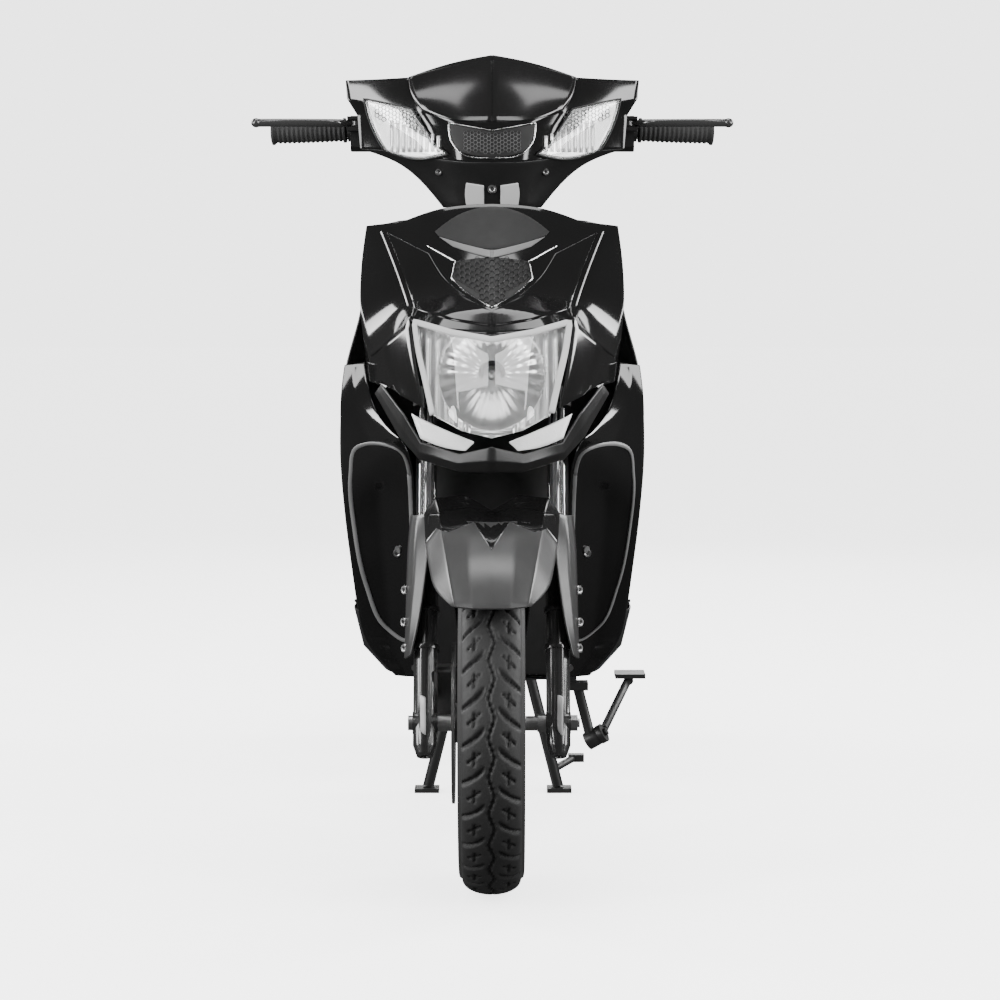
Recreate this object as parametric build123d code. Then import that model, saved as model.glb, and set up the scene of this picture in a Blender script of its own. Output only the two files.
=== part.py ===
"""A step-through electric moped scooter, as an assembly of separate pieces.

Design frame: X runs across (positive on the rider's left), Y runs rearwards from the front axle and Z is up from the
floor. Every piece is moved by front_axle_y when it is written, so that the row's origin is under the middle of the
whole vehicle. Sizes are in millimetres and angles in degrees.
"""

from build123d import *
import math
import os

# Driving dimensions ------------------------------------------------------------------------------------------------
wheelbase = 1290.0
tyre_radius = 233.0
tyre_width = 90.0
tyre_wall = 9.0
rim_seat_radius = 152.0
rake = 26.0
fork_offset = 26.0
fork_half_spacing = 91.0
stanchion_radius = 13.0
fork_leg_radius = 16.5
front_axle_radius = 6.0
front_disc_radius = 110.0
disc_thickness = 4.0
disc_face_x = -50.0
hub_motor_radius = 118.0
hub_motor_half_width = 54.0
rear_axle_radius = 8.0
rear_wheel_lift = 10.0
rail_half_spacing = 125.0
rail_radius = 14.0
rail_height = 268.0
down_tube_radius = 20.0
bar_radius = 11.0
grip_radius = 16.5
panel_wall = 3.0
panel_gap = 0.6
seat_hinge_station = 812.0
seat_hinge_height = 728.0
shock_half_spacing = 126.0
stand_pivot_station = 862.0
stand_pivot_height = 205.0
swing_pivot_station = 905.0
swing_pivot_height = 300.0
tail_overhang = 290.0

# Clearances --------------------------------------------------------------------------------------------------------
running = 0.1
free = 0.4
seat_on = 0.3

# Derived places ----------------------------------------------------------------------------------------------------
front_axle_y = -(wheelbase + tail_overhang - tyre_radius) / 2
rear_axle_height = tyre_radius + rear_wheel_lift
sin_rake, cos_rake = math.sin(math.radians(rake)), math.cos(math.radians(rake))
steer_foot = Vector(0, fork_offset * cos_rake, tyre_radius - fork_offset * sin_rake)
steering = Plane(origin=steer_foot, x_dir=(1, 0, 0), z_dir=(0, sin_rake, cos_rake)).location
head_low, head_high, head_radius, head_bore = 500.0, 640.0, 28.0, 22.0
stem_radius, stem_top = 14.0, 905.0
crown_low, crown_high = 470.0, 496.0
stanchion_foot, fork_travel = 95.0, 50.0
leg_bottom, leg_top = -48.0, 215.0
shock_top = (1190.0, 600.0)
shock_foot = (1245.0, 258.0)


# Shape helpers -----------------------------------------------------------------------------------------------------
def rod(start, end, radius, bore=0.0):
    """A round bar, or a tube where a bore is given, from one point to another."""
    run = Vector(*end) - Vector(*start)
    plane = Plane(origin=start, z_dir=run)
    bar = Solid.make_cylinder(radius, run.length, plane)
    return bar - Solid.make_cylinder(bore, run.length, plane) if bore else bar


def cross_bar(radius, x_low, x_high, station, height, bore=0.0):
    """A round bar along X."""
    return rod((x_low, station, height), (x_high, station, height), radius, bore)


def block(x_low, x_high, y_low, y_high, z_low, z_high):
    """A box between two corners."""
    size = (x_high - x_low, y_high - y_low, z_high - z_low)
    return Solid.make_box(*size, Plane(origin=(x_low, y_low, z_low)))


def bent_tube(points, radius, bend):
    """A round tube along straight runs joined by arcs."""
    path = FilletPolyline(*points, radius=bend)
    return sweep(Plane(origin=path @ 0, z_dir=path % 0) * Circle(radius), path=path)


def spun(points, station, height):
    """A ring turned about the X direction from (x, radius) points."""
    profile = make_face(Polyline(*points, close=True))
    return revolve(profile, axis=Axis.X).moved(Location((0, station, height)))


def both(shape):
    """A shape and its mirror image across the middle plane."""
    return [shape, mirror(shape, about=Plane.YZ)]


def facets(triangles):
    """A closed solid from flat triangles, each a tuple of three points."""
    faces = [Face(Wire.make_polygon([Vector(*p) for p in t], close=True)) for t in triangles]
    solid = Solid(Shell(faces))
    return solid if solid.volume > 0 else Solid(Shell([-f for f in faces]))


def quad(a, b, c, d):
    """Two triangles that fill a four-cornered patch, split the mirrored way on the vehicle's right half."""
    if a[0] + b[0] + c[0] + d[0] < 0:
        return [(a, b, d), (b, c, d)]
    return [(a, b, c), (a, c, d)]


def whole(rows):
    """Full-width rows from half rows, which run outwards from the middle plane."""
    return [[(-x, y, z) for x, y, z in reversed(row[1:])] + list(row) for row in rows]


def shell_panel(rows, inside, wall=panel_wall, lift=0.0, span=None):
    """A moulded panel: the faceted skin through the rows of points, thickened towards the inside point.

    With a lift, the panel is an overlay instead: it lies that far outside the skin and is thickened outwards. A span
    of (first row, last row, first column, last column) takes part of the rows.
    """
    n, m = len(rows), len(rows[0])
    skin = [[Vector(*p) for p in row] for row in rows]

    def normal(i, j):
        down = skin[min(i + 1, n - 1)][j] - skin[max(i - 1, 0)][j]
        along = skin[i][min(j + 1, m - 1)] - skin[i][max(j - 1, 0)]
        return down.cross(along).normalized()

    middle = skin[n // 2][m // 2]
    side = 1 if normal(n // 2, m // 2).dot(Vector(*inside) - middle) > 0 else -1
    near, far = (-lift, -lift - wall) if lift else (0.0, wall)
    top, bottom, first, last = span or (0, n - 1, 0, m - 1)
    face, back = (
        [
            [tuple(skin[i][j] + normal(i, j) * (side * depth)) for j in range(first, last + 1)]
            for i in range(top, bottom + 1)
        ]
        for depth in (near, far)
    )
    n, m = len(face), len(face[0])
    triangles = []
    for i in range(n - 1):
        for j in range(m - 1):
            triangles += quad(face[i][j], face[i + 1][j], face[i + 1][j + 1], face[i][j + 1])
            triangles += quad(back[i][j], back[i + 1][j], back[i + 1][j + 1], back[i][j + 1])
    rim = [(0, j) for j in range(m - 1)] + [(i, m - 1) for i in range(n - 1)]
    rim += [(n - 1, j) for j in range(m - 1, 0, -1)] + [(i, 0) for i in range(n - 1, 0, -1)]
    for (i, j), (k, l) in zip(rim, rim[1:] + rim[:1]):
        triangles += quad(face[i][j], face[k][l], back[k][l], back[i][j])
    return facets(triangles)


def ring_solid(rings):
    """A faceted solid through rings of points, closed by a fan at each end."""
    triangles = []
    for low, high in zip(rings, rings[1:]):
        for k in range(len(low)):
            n = (k + 1) % len(low)
            triangles += quad(low[k], low[n], high[n], high[k])
    for ring, turned in ((rings[0], True), (rings[-1], False)):
        centre = tuple(sum(p[a] for p in ring) / len(ring) for a in range(3))
        for k in range(len(ring)):
            pair = (ring[k], ring[(k + 1) % len(ring)])
            triangles.append((centre, pair[1], pair[0]) if turned else (centre, *pair))
    return facets(triangles)


# Wheels ------------------------------------------------------------------------------------------------------------
bead_half = 27.0


def tyre(station, height):
    half, crown = tyre_width / 2, tyre_radius
    shoulder, belly = (half - 8, crown - 19), (half, crown - 42)
    bead, flange_top = (bead_half, rim_seat_radius + seat_on), (bead_half, rim_seat_radius + 12.5)
    inner_bead, inner_top = (bead[0] - tyre_wall, bead[1]), (bead[0] - tyre_wall, flange_top[1])
    inner_belly, inner_shoulder = (half - tyre_wall, belly[1]), (shoulder[0] - 7, shoulder[1] - 7)

    def left(point):
        return (-point[0], point[1])

    outline = [
        ThreePointArc(left(shoulder), (0, crown), shoulder),
        ThreePointArc(shoulder, belly, flange_top),
        Line(flange_top, bead),
        Line(bead, inner_bead),
        Line(inner_bead, inner_top),
        ThreePointArc(inner_top, inner_belly, inner_shoulder),
        ThreePointArc(inner_shoulder, (0, crown - tyre_wall), left(inner_shoulder)),
        ThreePointArc(left(inner_shoulder), left(inner_belly), left(inner_top)),
        Line(left(inner_top), left(inner_bead)),
        Line(left(inner_bead), left(bead)),
        Line(left(bead), left(flange_top)),
        ThreePointArc(left(flange_top), left(belly), left(shoulder)),
    ]
    return revolve(make_face(Wire(outline)), axis=Axis.X).moved(Location((0, station, height)))


def rim_barrel(station, height):
    seat = rim_seat_radius
    lip = bead_half + seat_on
    points = [(-31, seat + 11), (-lip, seat + 11), (-lip, seat), (-17, seat), (-13, seat - 7), (13, seat - 7)]
    points += [(17, seat), (lip, seat), (lip, seat + 11), (31, seat + 11), (31, seat - 5), (16, seat - 12)]
    points += [(-16, seat - 12), (-31, seat - 5)]
    return spun(points, station, height)


hub_low, hub_high, hub_radius = disc_face_x, 46.0, 27.0
bearing_radius, bearing_width, spoke_pairs = 16.0, 10.0, 5


def front_rim():
    hub = cross_bar(hub_radius, hub_low, hub_high, 0, tyre_radius, bore=11.0)
    for x in (hub_low, hub_high - bearing_width):
        hub -= cross_bar(bearing_radius, x, x + bearing_width, 0, tyre_radius)
    wheel = rim_barrel(0, tyre_radius) + hub
    reach = rim_seat_radius - 9
    for k in range(spoke_pairs):
        for lean in (-9, 9):
            turn = math.radians(360 / spoke_pairs * k + lean)
            out = Vector(0, math.sin(turn), math.cos(turn))
            spoke = Plane(origin=Vector(0, 0, tyre_radius) + out * 22, x_dir=(1, 0, 0), z_dir=out)
            wheel += extrude(spoke * RectangleRounded(22, 14, 4), amount=reach - 22, taper=1)
    return wheel


def front_wheel_bearings():
    return [
        cross_bar(bearing_radius, x, x + bearing_width, 0, tyre_radius, bore=front_axle_radius + running)
        for x in (hub_low, hub_high - bearing_width)
    ]


def brake_disc():
    face = disc_face_x - disc_thickness
    disc = cross_bar(front_disc_radius, face, disc_face_x, 0, tyre_radius, bore=14.0)
    windows, holes = 5, 15
    for k in range(windows):
        turn = math.radians(360 / windows * k)
        y, z = 52 * math.sin(turn), tyre_radius + 52 * math.cos(turn)
        disc -= cross_bar(21.0, face, disc_face_x, y, z)
    for k in range(2 * holes):
        turn, ring = math.radians(180 / holes * k), (91, 101)[k % 2]
        y, z = ring * math.sin(turn), tyre_radius + ring * math.cos(turn)
        disc -= cross_bar(3.5, face, disc_face_x, y, z)
    return disc


def rear_hub_motor():
    height = rear_axle_height
    half = hub_motor_half_width
    outline = [(-half, hub_motor_radius - 16), (-half + 12, hub_motor_radius), (half - 12, hub_motor_radius)]
    outline += [(half, hub_motor_radius - 16), (half + 8, 40), (half + 8, rear_axle_radius + running)]
    outline += [(-half - 8, rear_axle_radius + running), (-half - 8, 40)]
    motor = spun(outline, wheelbase, height) + rim_barrel(wheelbase, height)
    web = cross_bar(rim_seat_radius - 8, -11, 11, wheelbase, height, bore=hub_motor_radius - 2)
    return motor + web


def rear_axle():
    shaft = cross_bar(rear_axle_radius, -118, 118, wheelbase, rear_axle_height)
    nuts = [
        extrude(
            Plane(origin=(x, wheelbase, rear_axle_height), z_dir=(side, 0, 0)) * RegularPolygon(15, 6), amount=12
        )
        - cross_bar(rear_axle_radius, -130, 130, wheelbase, rear_axle_height)
        for side, x in ((-1, -104.3), (1, 104.3))
    ]
    start = hub_motor_half_width + 8 + free
    spacers = [
        cross_bar(14, *sorted((side * start, side * (91 - seat_on))), wheelbase, rear_axle_height, rear_axle_radius)
        for side in (-1, 1)
    ]
    return [shaft, *nuts, *spacers]


# Front fork, its wheel mounting and the front fender ---------------------------------------------------------------
def fork_stanchions():
    low, high = (fork_half_spacing, -fork_offset, stanchion_foot), (fork_half_spacing, -fork_offset, crown_high - 2)
    bar = rod(low, high, stanchion_radius)
    return [s.moved(steering) for s in both(bar)]


def fork_lower_legs():
    x, y = fork_half_spacing, -fork_offset
    leg = rod((x, y, leg_bottom + 16), (x, y, leg_top), fork_leg_radius)
    leg += Solid.make_cone(11, fork_leg_radius, 16, Plane(origin=(x, y, leg_bottom)))
    leg += rod((x, y, leg_top), (x, y, leg_top + 14), fork_leg_radius + 3)
    leg += rod((x, y, 103), (x, y, 111), fork_leg_radius + 3)
    leg += rod((x, y, 158), (x, y, 166), fork_leg_radius + 3)
    leg += rod((x - 17, y, 0), (x + 17, y, 0), 15)
    leg -= rod((x, y, stanchion_foot - fork_travel - 10), (x, y, leg_top + 15), stanchion_radius + free)
    leg -= rod((x, y, leg_bottom - 1), (x, y, leg_bottom + 8), 6)
    leg -= rod((x - 30, y, 0), (x + 30, y, 0), front_axle_radius + running)
    return [s.moved(steering) for s in both(leg)]


def front_axle():
    face = fork_half_spacing - 17 - seat_on
    end = fork_half_spacing + 17 + seat_on
    shaft = cross_bar(front_axle_radius, -end - 6, end + 12, 0, tyre_radius)
    head = cross_bar(10, -end - 6, -end, 0, tyre_radius, bore=front_axle_radius)
    nut = extrude(Plane(origin=(end, 0, tyre_radius), z_dir=(1, 0, 0)) * RegularPolygon(11, 6), amount=9)
    nut -= shaft
    left = cross_bar(9.5, hub_high + free, 62, 0, tyre_radius, bore=front_axle_radius)
    collar = cross_bar(12.5, 62 + seat_on, face, 0, tyre_radius, bore=front_axle_radius)
    start = disc_face_x - disc_thickness - free
    right = cross_bar(11.5, -face, start, 0, tyre_radius, bore=front_axle_radius)
    return [shaft, head, nut, left, collar, right]


caliper_station, caliper_height = 82.0, 268.0


def brake_caliper():
    y, z = caliper_station, caliper_height
    body = block(-79, -33, y - 24, y + 26, z - 34, z + 34)
    body = fillet(body.edges().filter_by(Axis.X), 8)
    slot = cross_bar(front_disc_radius + 6, disc_face_x - disc_thickness - free, disc_face_x + free, 0, tyre_radius)
    piston = rod((-79, y, z + 12), (-86, y, z + 12), 15)
    arm = block(-79, -74.5, 12, y, z - 8, z + 34) - leg_envelope(-1, seat_on)
    return body - slot + piston + arm


def leg_envelope(side, clearance=0.0):
    """The space of one fork leg, used to trim what is bolted beside it."""
    x = side * fork_half_spacing
    bar = rod((x, -fork_offset, leg_bottom), (x, -fork_offset, leg_top + 14), fork_leg_radius + clearance)
    return bar.moved(steering)


# Fender rows run rearwards over the tyre; the points in a row run outwards from the middle plane.
fender_inside = (0, 0, tyre_radius)
fender_rows = [
    [(0, -195, 411), (25, -194, 411), (48, -188, 413), (52, -180, 412)],
    [(0, -152, 457), (28, -150, 456), (57, -141, 452), (77, -112, 432)],
    [(0, -98, 490), (30, -96, 489), (64, -86, 483), (84, -66, 452)],
    [(0, -40, 511), (32, -36, 512), (70, -28, 508), (90, -14, 480)],
    [(0, 36, 520), (34, 44, 531), (75, 40, 531), (93, 38, 506)],
    [(0, 42, 521), (36, 60, 541), (78, 60, 537), (94, 62, 516)],
]
fender_tail_rows = [
    [(0, 10, 515.5), (36, 14, 518), (58, 20, 500)],
    [(0, 90, 481), (40, 90, 479), (58, 84, 458)],
    [(0, 160, 436), (40, 159, 434), (57, 146, 420)],
    [(0, 212, 372), (38, 211, 371), (54, 194, 363)],
    [(0, 238, 300), (34, 237, 300), (46, 220, 298)],
]
ear_rows = [
    [(92, 60, 515), (103, 78, 512), (111, 100, 510), (114, 128, 508)],
    [(88, 46, 480), (106, 62, 478), (115, 86, 476), (117, 116, 474)],
    [(92, 30, 426), (108, 42, 424), (117, 62, 421), (119, 92, 418)],
    [(100, 24, 374), (113, 34, 370), (118, 50, 367), (120, 74, 364)],
    [(112, 20, 324), (116, 26, 320), (119, 34, 318), (121, 46, 316)],
]
stay_places = [(82, 405), (52, 340)]


def front_fender():
    """The fender shell, its tail behind the fork, and the guards beside the fork legs with their stays."""
    fender = shell_panel(whole(fender_rows), fender_inside) + shell_panel(whole(fender_tail_rows), fender_inside)
    for side in (-1, 1):
        ear = shell_panel(ear_rows, (60, 120, 420))
        for y, z in stay_places:
            ear += rod((fork_half_spacing + fork_leg_radius + seat_on, y, z), (117.5, y, z), 6)
        fender += ear if side > 0 else mirror(ear, about=Plane.YZ)
    return fender


# Steering head and handlebar ---------------------------------------------------------------------------------------
bar_points = [(-322, 451, 1054), (-150, 436.67, 1059.2), (-98, 420, 1035), (98, 420, 1035), (150, 436.67, 1059.2)]
bar_points += [(322, 451, 1054)]


def bar_run(side, start, end, radius, bore=0.0):
    """A round bar or tube that lies along the straight outer run of the handlebar."""
    inner, outer = Vector(side * 190, 440, 1058), Vector(side * 322, 451, 1054)
    way = (outer - inner) * (1 / 132)
    return rod(tuple(inner + way * (start - 190)), tuple(inner + way * (end - 190)), radius, bore)


def steering_stem():
    crown = block(-112, 112, -fork_offset - 20, 22, crown_low, crown_high)
    crown = chamfer(crown.edges().filter_by(Axis.Z), 16)
    for side in (-1, 1):
        hole = rod((side * 91, -fork_offset, crown_low - 1), (side * 91, -fork_offset, crown_high + 1), 13.02)
        crown -= hole
    stem = rod((0, 0, crown_low), (0, 0, stem_top), stem_radius)
    nut = rod((0, 0, head_high + seat_on), (0, 0, head_high + 12), 24)
    clamp = block(-34, 34, -20, 22, stem_top - 34, stem_top + 4)
    column = (crown + stem + nut + clamp).moved(steering)
    return column - rod((-40, 420, 1035), (40, 420, 1035), bar_radius + running)


def steering_bearings():
    outer = head_bore - 0.02
    return [
        rod((0, 0, low), (0, 0, low + 13), outer, stem_radius + running).moved(steering)
        for low in (head_low, head_high - 13)
    ]


def handlebar():
    return bent_tube(bar_points, bar_radius, 34)


housing_bore = bar_radius + running
lever_pivot = (200, 415)
lever_low, lever_high = 1061.0, 1071.0


def switch_housing(side):
    """The control block beside a grip, with the lever perch, its pivot and the mirror boss."""
    x_low, x_high = sorted((side * 166, side * 210))
    body = block(x_low, x_high, 422, 470, 1026, 1078)
    body = chamfer(body.edges().filter_by(Axis.X), 6)
    collar = bar_run(side, 206, 214, 17)
    boss = rod((side * 178, 440, 1050), (side * 178, 440, 1084), 9)
    x_low, x_high = sorted((side * 184, side * 214))
    perch = block(x_low, x_high, 402, 430, lever_low - 6, lever_high + 5)
    slot = block(*sorted((side * 183, side * 220)), 395, 427.4, lever_low - free, lever_high + free)
    pin = rod((side * lever_pivot[0], lever_pivot[1], lever_low - 5), (side * 200, 415, lever_high + 4), 3)
    housing = (body + collar + boss + perch) - slot + pin
    housing -= bar_run(side, 150, 230, housing_bore)
    housing -= rod((side * 178, 440, 1070), (side * 178, 440, 1085), 4)
    for x, z, radius in ((side * 180, 1042, 6.4), (side * 198, 1042, 5.4)):
        housing -= rod((x, 459, z), (x, 471, z), radius)
    return housing


def button(side, x, radius, out):
    return rod((side * x, 462 + free, 1042), (side * x, 470 + out, 1042), radius)


def brake_lever():
    """The left lever: an eye on the perch pin, a cranked blade and a ball end."""
    points = [(200, 415), (232, 400), (290, 391), (346, 394)]
    x, y = lever_pivot
    blade = rod((x, y, lever_low), (x, y, lever_high), 10)
    for (x0, y0), (x1, y1) in zip(points, points[1:]):
        width = 11 if x0 < 210 else 9
        outline = [(x0, y0 - width / 2), (x1, y1 - 4.5), (x1, y1 + 4.5), (x0, y0 + width / 2)]
        corners = [Vector(px, py, lever_low) for px, py in outline]
        blade += Solid.extrude(Face(Wire.make_polygon(corners, close=True)), Vector(0, 0, 10))
    blade += Solid.make_sphere(8, angle1=-90).moved(Location((347, 394, 1066)))
    return blade - rod((x, y, lever_low - 1), (x, y, lever_high + 1), 3 + running)


def left_grip():
    grip = bar_run(1, 218, 322, grip_radius) + bar_run(1, 320, 327, 20)
    return grip - bar_run(1, 200, 322 + seat_on, bar_radius + 0.05)


def throttle_grip():
    grip = bar_run(-1, 218, 322, grip_radius) + bar_run(-1, 320, 327, 20)
    return grip - bar_run(-1, 200, 322 + free, bar_radius + running)


# Handlebar cowls. Rows run from the top down and points run outwards from the middle plane.
cowl_inside = (0, 420, 1050)
cowl_rows = [
    [(0, 356, 1162), (60, 354, 1150), (122, 350, 1130), (170, 362, 1128), (215, 374, 1127)],
    [(0, 330, 1112), (60, 336, 1108), (118, 344, 1106), (168, 358, 1110), (214, 374, 1114)],
    [(0, 302, 1064), (56, 314, 1066), (104, 336, 1082), (158, 354, 1092), (213, 374, 1100)],
    [(0, 300, 1046), (54, 314, 1052), (90, 332, 1060), (150, 352, 1066), (198, 374, 1076)],
    [(0, 301, 1022), (48, 312, 1026), (80, 328, 1034), (140, 350, 1044), (196, 374, 1050)],
    [(0, 303, 1005), (44, 311, 1006), (74, 326, 1010), (138, 352, 1022), (194, 374, 1027)],
    [(0, 320, 975), (30, 323, 978), (60, 332, 984), (98, 352, 996), (132, 368, 1002)],
    [(0, 335, 941), (25, 338, 941), (48, 347, 941), (64, 360, 941), (72, 374, 941)],
]
cowl_back_rows = [
    [(0, 362, 1157), (60, 360, 1145), (122, 357, 1125), (168, 369, 1123), (211, 379, 1122)],
    [(0, 402, 1132), (60, 402, 1124), (115, 401, 1114), (160, 398, 1110), (206, 392, 1108)],
    [(0, 462, 1098), (60, 460, 1096), (110, 446, 1091), (150, 420, 1088), (198, 394, 1087)],
    [(0, 468, 1060), (60, 466, 1060), (108, 450, 1060), (134, 412, 1056), (160, 392, 1056)],
    [(0, 458, 1010), (60, 454, 1010), (100, 436, 1012), (126, 404, 1018), (150, 388, 1026)],
    [(0, 436, 962), (40, 432, 962), (70, 418, 968), (96, 396, 984), (120, 380, 998)],
]


def handlebar_front_cowl():
    return shell_panel(whole(cowl_rows), cowl_inside)


def windscreen_visor():
    return shell_panel(whole(cowl_rows), cowl_inside, wall=3.5, lift=panel_gap, span=(0, 2, 2, 6))


def cowl_grille():
    return shell_panel(whole(cowl_rows), cowl_inside, wall=2.5, lift=panel_gap, span=(3, 5, 3, 5))


def indicator_lenses():
    return both(shell_panel(cowl_rows, cowl_inside, wall=3.0, lift=panel_gap, span=(3, 5, 2, 3)))


def handlebar_rear_cowl():
    cowl = shell_panel(whole(cowl_back_rows), cowl_inside)
    for side in (-1, 1):
        cowl -= rod((side * 70, 412, 1020), (side * 180, 440, 1058), 20)
    return cowl


def dash_display():
    return shell_panel(whole(cowl_back_rows), cowl_inside, wall=4, lift=panel_gap, span=(1, 2, 3, 5))


# Nose, lamps and front panels ----------------------------------------------------------------------------------------
nose_inside = (0, 400, 800)
nose_rows = [
    [(0, 262, 945), (74, 266, 938), (131, 280, 919), (165, 292, 916), (182, 300, 914)],
    [(0, 215, 885), (60, 222, 880), (115, 240, 870), (155, 262, 862), (189, 285, 855)],
    [(0, 160, 835), (45, 175, 830), (100, 200, 815), (150, 232, 808), (190, 268, 800)],
    [(0, 108, 795), (55, 118, 792), (112, 150, 790), (150, 200, 775), (186, 256, 759)],
    [(0, 78, 762), (60, 92, 768), (115, 106, 782), (152, 165, 745), (181, 246, 722)],
]
cheek_rows = [
    [(115, 106, 782), (152, 165, 745), (181, 246, 722)],
    [(106, 68, 715), (142, 140, 712), (180, 244, 704)],
    [(93, 36, 662), (126, 98, 676), (159, 180, 694)],
]
lamp_inside = (0, 200, 690)
lamp_rows = [
    [(0, 70, 753), (56, 84, 763), (106, 102, 777)],
    [(0, 45, 715), (54, 58, 722), (101, 84, 742)],
    [(0, 15, 660), (48, 24, 666), (90, 54, 696)],
    [(0, 2, 622), (42, 9, 632), (80, 28, 652)],
]
position_rows = [
    [(24, 5, 616), (60, 17, 630), (110, 46, 652)],
    [(36, 5, 605), (62, 16, 608), (98, 38, 620)],
]
position_back_rows = [
    [(24, 10.8, 617), (60, 21.2, 630), (100, 44.2, 648)],
    [(36, 11.2, 613), (62, 20.0, 615), (88, 36.2, 624)],
]
beak_rows = [
    [(0, -8, 611), (44, 8, 601), (98, 37, 614.5), (122, 60, 652), (156, 150, 690)],
    [(0, -10, 592), (46, 4, 588), (100, 44, 600), (126, 74, 634), (162, 164, 682)],
    [(0, 2, 575), (42, 12, 575), (100, 54, 590), (128, 92, 618), (166, 178, 676)],
]
shield_inside = (150, 450, 480)
shield_rows = [
    [(183, 248, 719), (198, 256, 716), (213, 266, 714)],
    [(179, 238, 690), (199, 252, 676), (219, 270, 663)],
    [(130, 112, 616), (176, 222, 606), (219, 280, 605)],
    [(116, 165, 586), (170, 225, 575), (219, 290, 546)],
    [(112, 240, 520), (165, 290, 515), (213, 300, 490)],
    [(110, 262, 435), (160, 310, 432), (206, 312, 428)],
    [(108, 304, 367), (155, 335, 366), (199, 332, 366)],
    [(107, 345, 300), (150, 360, 300), (186, 352, 305)],
    [(106, 366, 248), (125, 369, 249), (143, 362, 252)],
]
inner_inside = (0, 250, 600)
inner_rows = [
    [(0, 445, 930), (70, 440, 928), (140, 400, 922), (181, 308, 912)],
    [(0, 395, 800), (80, 392, 800), (150, 350, 798), (190, 288, 796)],
    [(0, 372, 700), (90, 370, 700), (172, 330, 697), (213, 275, 704)],
    [(0, 366, 600), (100, 366, 600), (182, 335, 600), (221, 290, 602)],
    [(0, 370, 500), (100, 372, 500), (180, 345, 500), (215, 309, 493)],
    [(0, 388, 420), (100, 391, 420), (170, 368, 425), (207, 322, 422)],
    [(0, 430, 345), (100, 430, 345), (165, 404, 348), (199, 350, 352)],
]
guard_rows = [
    [(0, 275, 612), (60, 275, 612), (110, 269, 604)],
    [(0, 298, 500), (60, 294, 500), (110, 262, 500)],
    [(0, 324, 400), (60, 320, 400), (107, 290, 400)],
    [(0, 352, 300), (60, 350, 300), (105, 343, 300)],
    [(0, 370, 252), (60, 370, 252), (104, 366, 252)],
]
cover_outline = [(0, 236.5), (63, 247.5), (122, 275), (158, 292), (174, 304), (170.5, 321), (135, 385), (69, 424)]
cover_outline += [(0, 428)]


def nose_panel():
    nose = shell_panel(whole(nose_rows), nose_inside)
    for cheek in both(shell_panel(cheek_rows, nose_inside)):
        nose += cheek
    return nose


def nose_grille():
    return shell_panel(whole(nose_rows), nose_inside, wall=2, lift=panel_gap, span=(1, 3, 3, 5))


def headlamp_housing():
    """The reflector bowl behind the headlamp lens, with the bulb in its middle."""
    deep = [[(x, y + 3.9, z) for x, y, z in row] for row in lamp_rows]
    deep[1] = [(0, 112, 712), (48, 108, 716), deep[1][2]]
    deep[2] = [(0, 104, 668), (44, 98, 672), deep[2][2]]
    housing = shell_panel(whole(deep), lamp_inside, wall=2) + rod((0, 116, 690), (0, 68, 690), 13)
    for back in both(shell_panel(position_back_rows, lamp_inside, wall=2)):
        housing += back
    return housing + block(-28, 28, 13, 60, 608, 636) + block(-4, 4, -3.2, 30, 600, 609)


def front_lamp_lenses():
    lens = shell_panel(whole(lamp_rows), lamp_inside, wall=2.5)
    return [lens] + both(shell_panel(position_rows, lamp_inside, wall=2.0))


def beak_trim():
    return shell_panel(whole(beak_rows), (0, 200, 640))


def inner_leg_shield():
    outline = cover_outline + [(-x, y) for x, y in reversed(cover_outline[1:-1])]
    face = Face(Wire.make_polygon([Vector(x, y, 904) for x, y in outline], close=True))
    lid = Solid.extrude(face, Vector(0, 0, 3)) - rod((0, 0, 700), (0, 0, 820), 42).moved(steering)
    key_hole = rod((-110, 340, 740), (-110, 420, 740), 12)
    return [shell_panel(whole(inner_rows), inner_inside) - key_hole, lid]


def splash_guard():
    return shell_panel(whole(guard_rows), (0, 420, 450))


# Floor, belly and the covers over the rear body ------------------------------------------------------------------------
floor_rows = [
    [(0, 434, 336), (120, 434, 336), (184, 424, 340), (204, 400, 362)],
    [(0, 520, 335), (120, 520, 335), (185, 520, 337), (208, 520, 348)],
    [(0, 660, 335), (120, 660, 335), (182, 660, 337), (204, 660, 346)],
    [(0, 786, 336), (115, 786, 336), (160, 790, 340), (178, 796, 347)],
]
belly_rows = [
    [(0, 386, 244), (100, 386, 244), (148, 390, 252), (178, 390, 296), (200, 388, 346)],
    [(0, 434, 240), (100, 434, 240), (160, 434, 252), (192, 434, 288), (207, 434, 345)],
    [(0, 520, 240), (100, 520, 240), (165, 520, 250), (193, 520, 286), (209.5, 520, 343)],
    [(0, 660, 240), (100, 660, 240), (160, 660, 250), (190, 660, 286), (206, 660, 341)],
    [(0, 786, 240), (95, 786, 240), (146, 788, 250), (168, 790, 288), (181, 796, 342)],
]
side_rows = [
    [(0.4, 780, 716), (95, 784, 716), (138, 830, 718), (150, 930, 726), (156, 1080, 742), (152, 1250, 764)],
    [(0.4, 772, 600), (100, 778, 600), (150, 830, 600), (172, 935, 620), (184, 1085, 660), (178, 1255, 695)],
    [(0.4, 778, 470), (106, 782, 470), (162, 835, 470), (180, 940, 500), (190, 1090, 570), (184, 1260, 620)],
    [(0.4, 792, 350), (116, 796, 350), (178, 850, 350), (174, 945, 385), (182, 1095, 465), (172, 1265, 545)],
]
side_tail = [
    [(134, 1400, 790), (92, 1530, 815), (42, 1572, 825)],
    [(152, 1405, 735), (104, 1535, 775), (46, 1577, 792)],
    [(156, 1410, 680), (104, 1540, 730), (46, 1579, 758)],
    [(142, 1415, 615), (92, 1540, 680), (42, 1575, 720)],
]
side_rows = [head + tail for head, tail in zip(side_rows, side_tail)]
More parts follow.
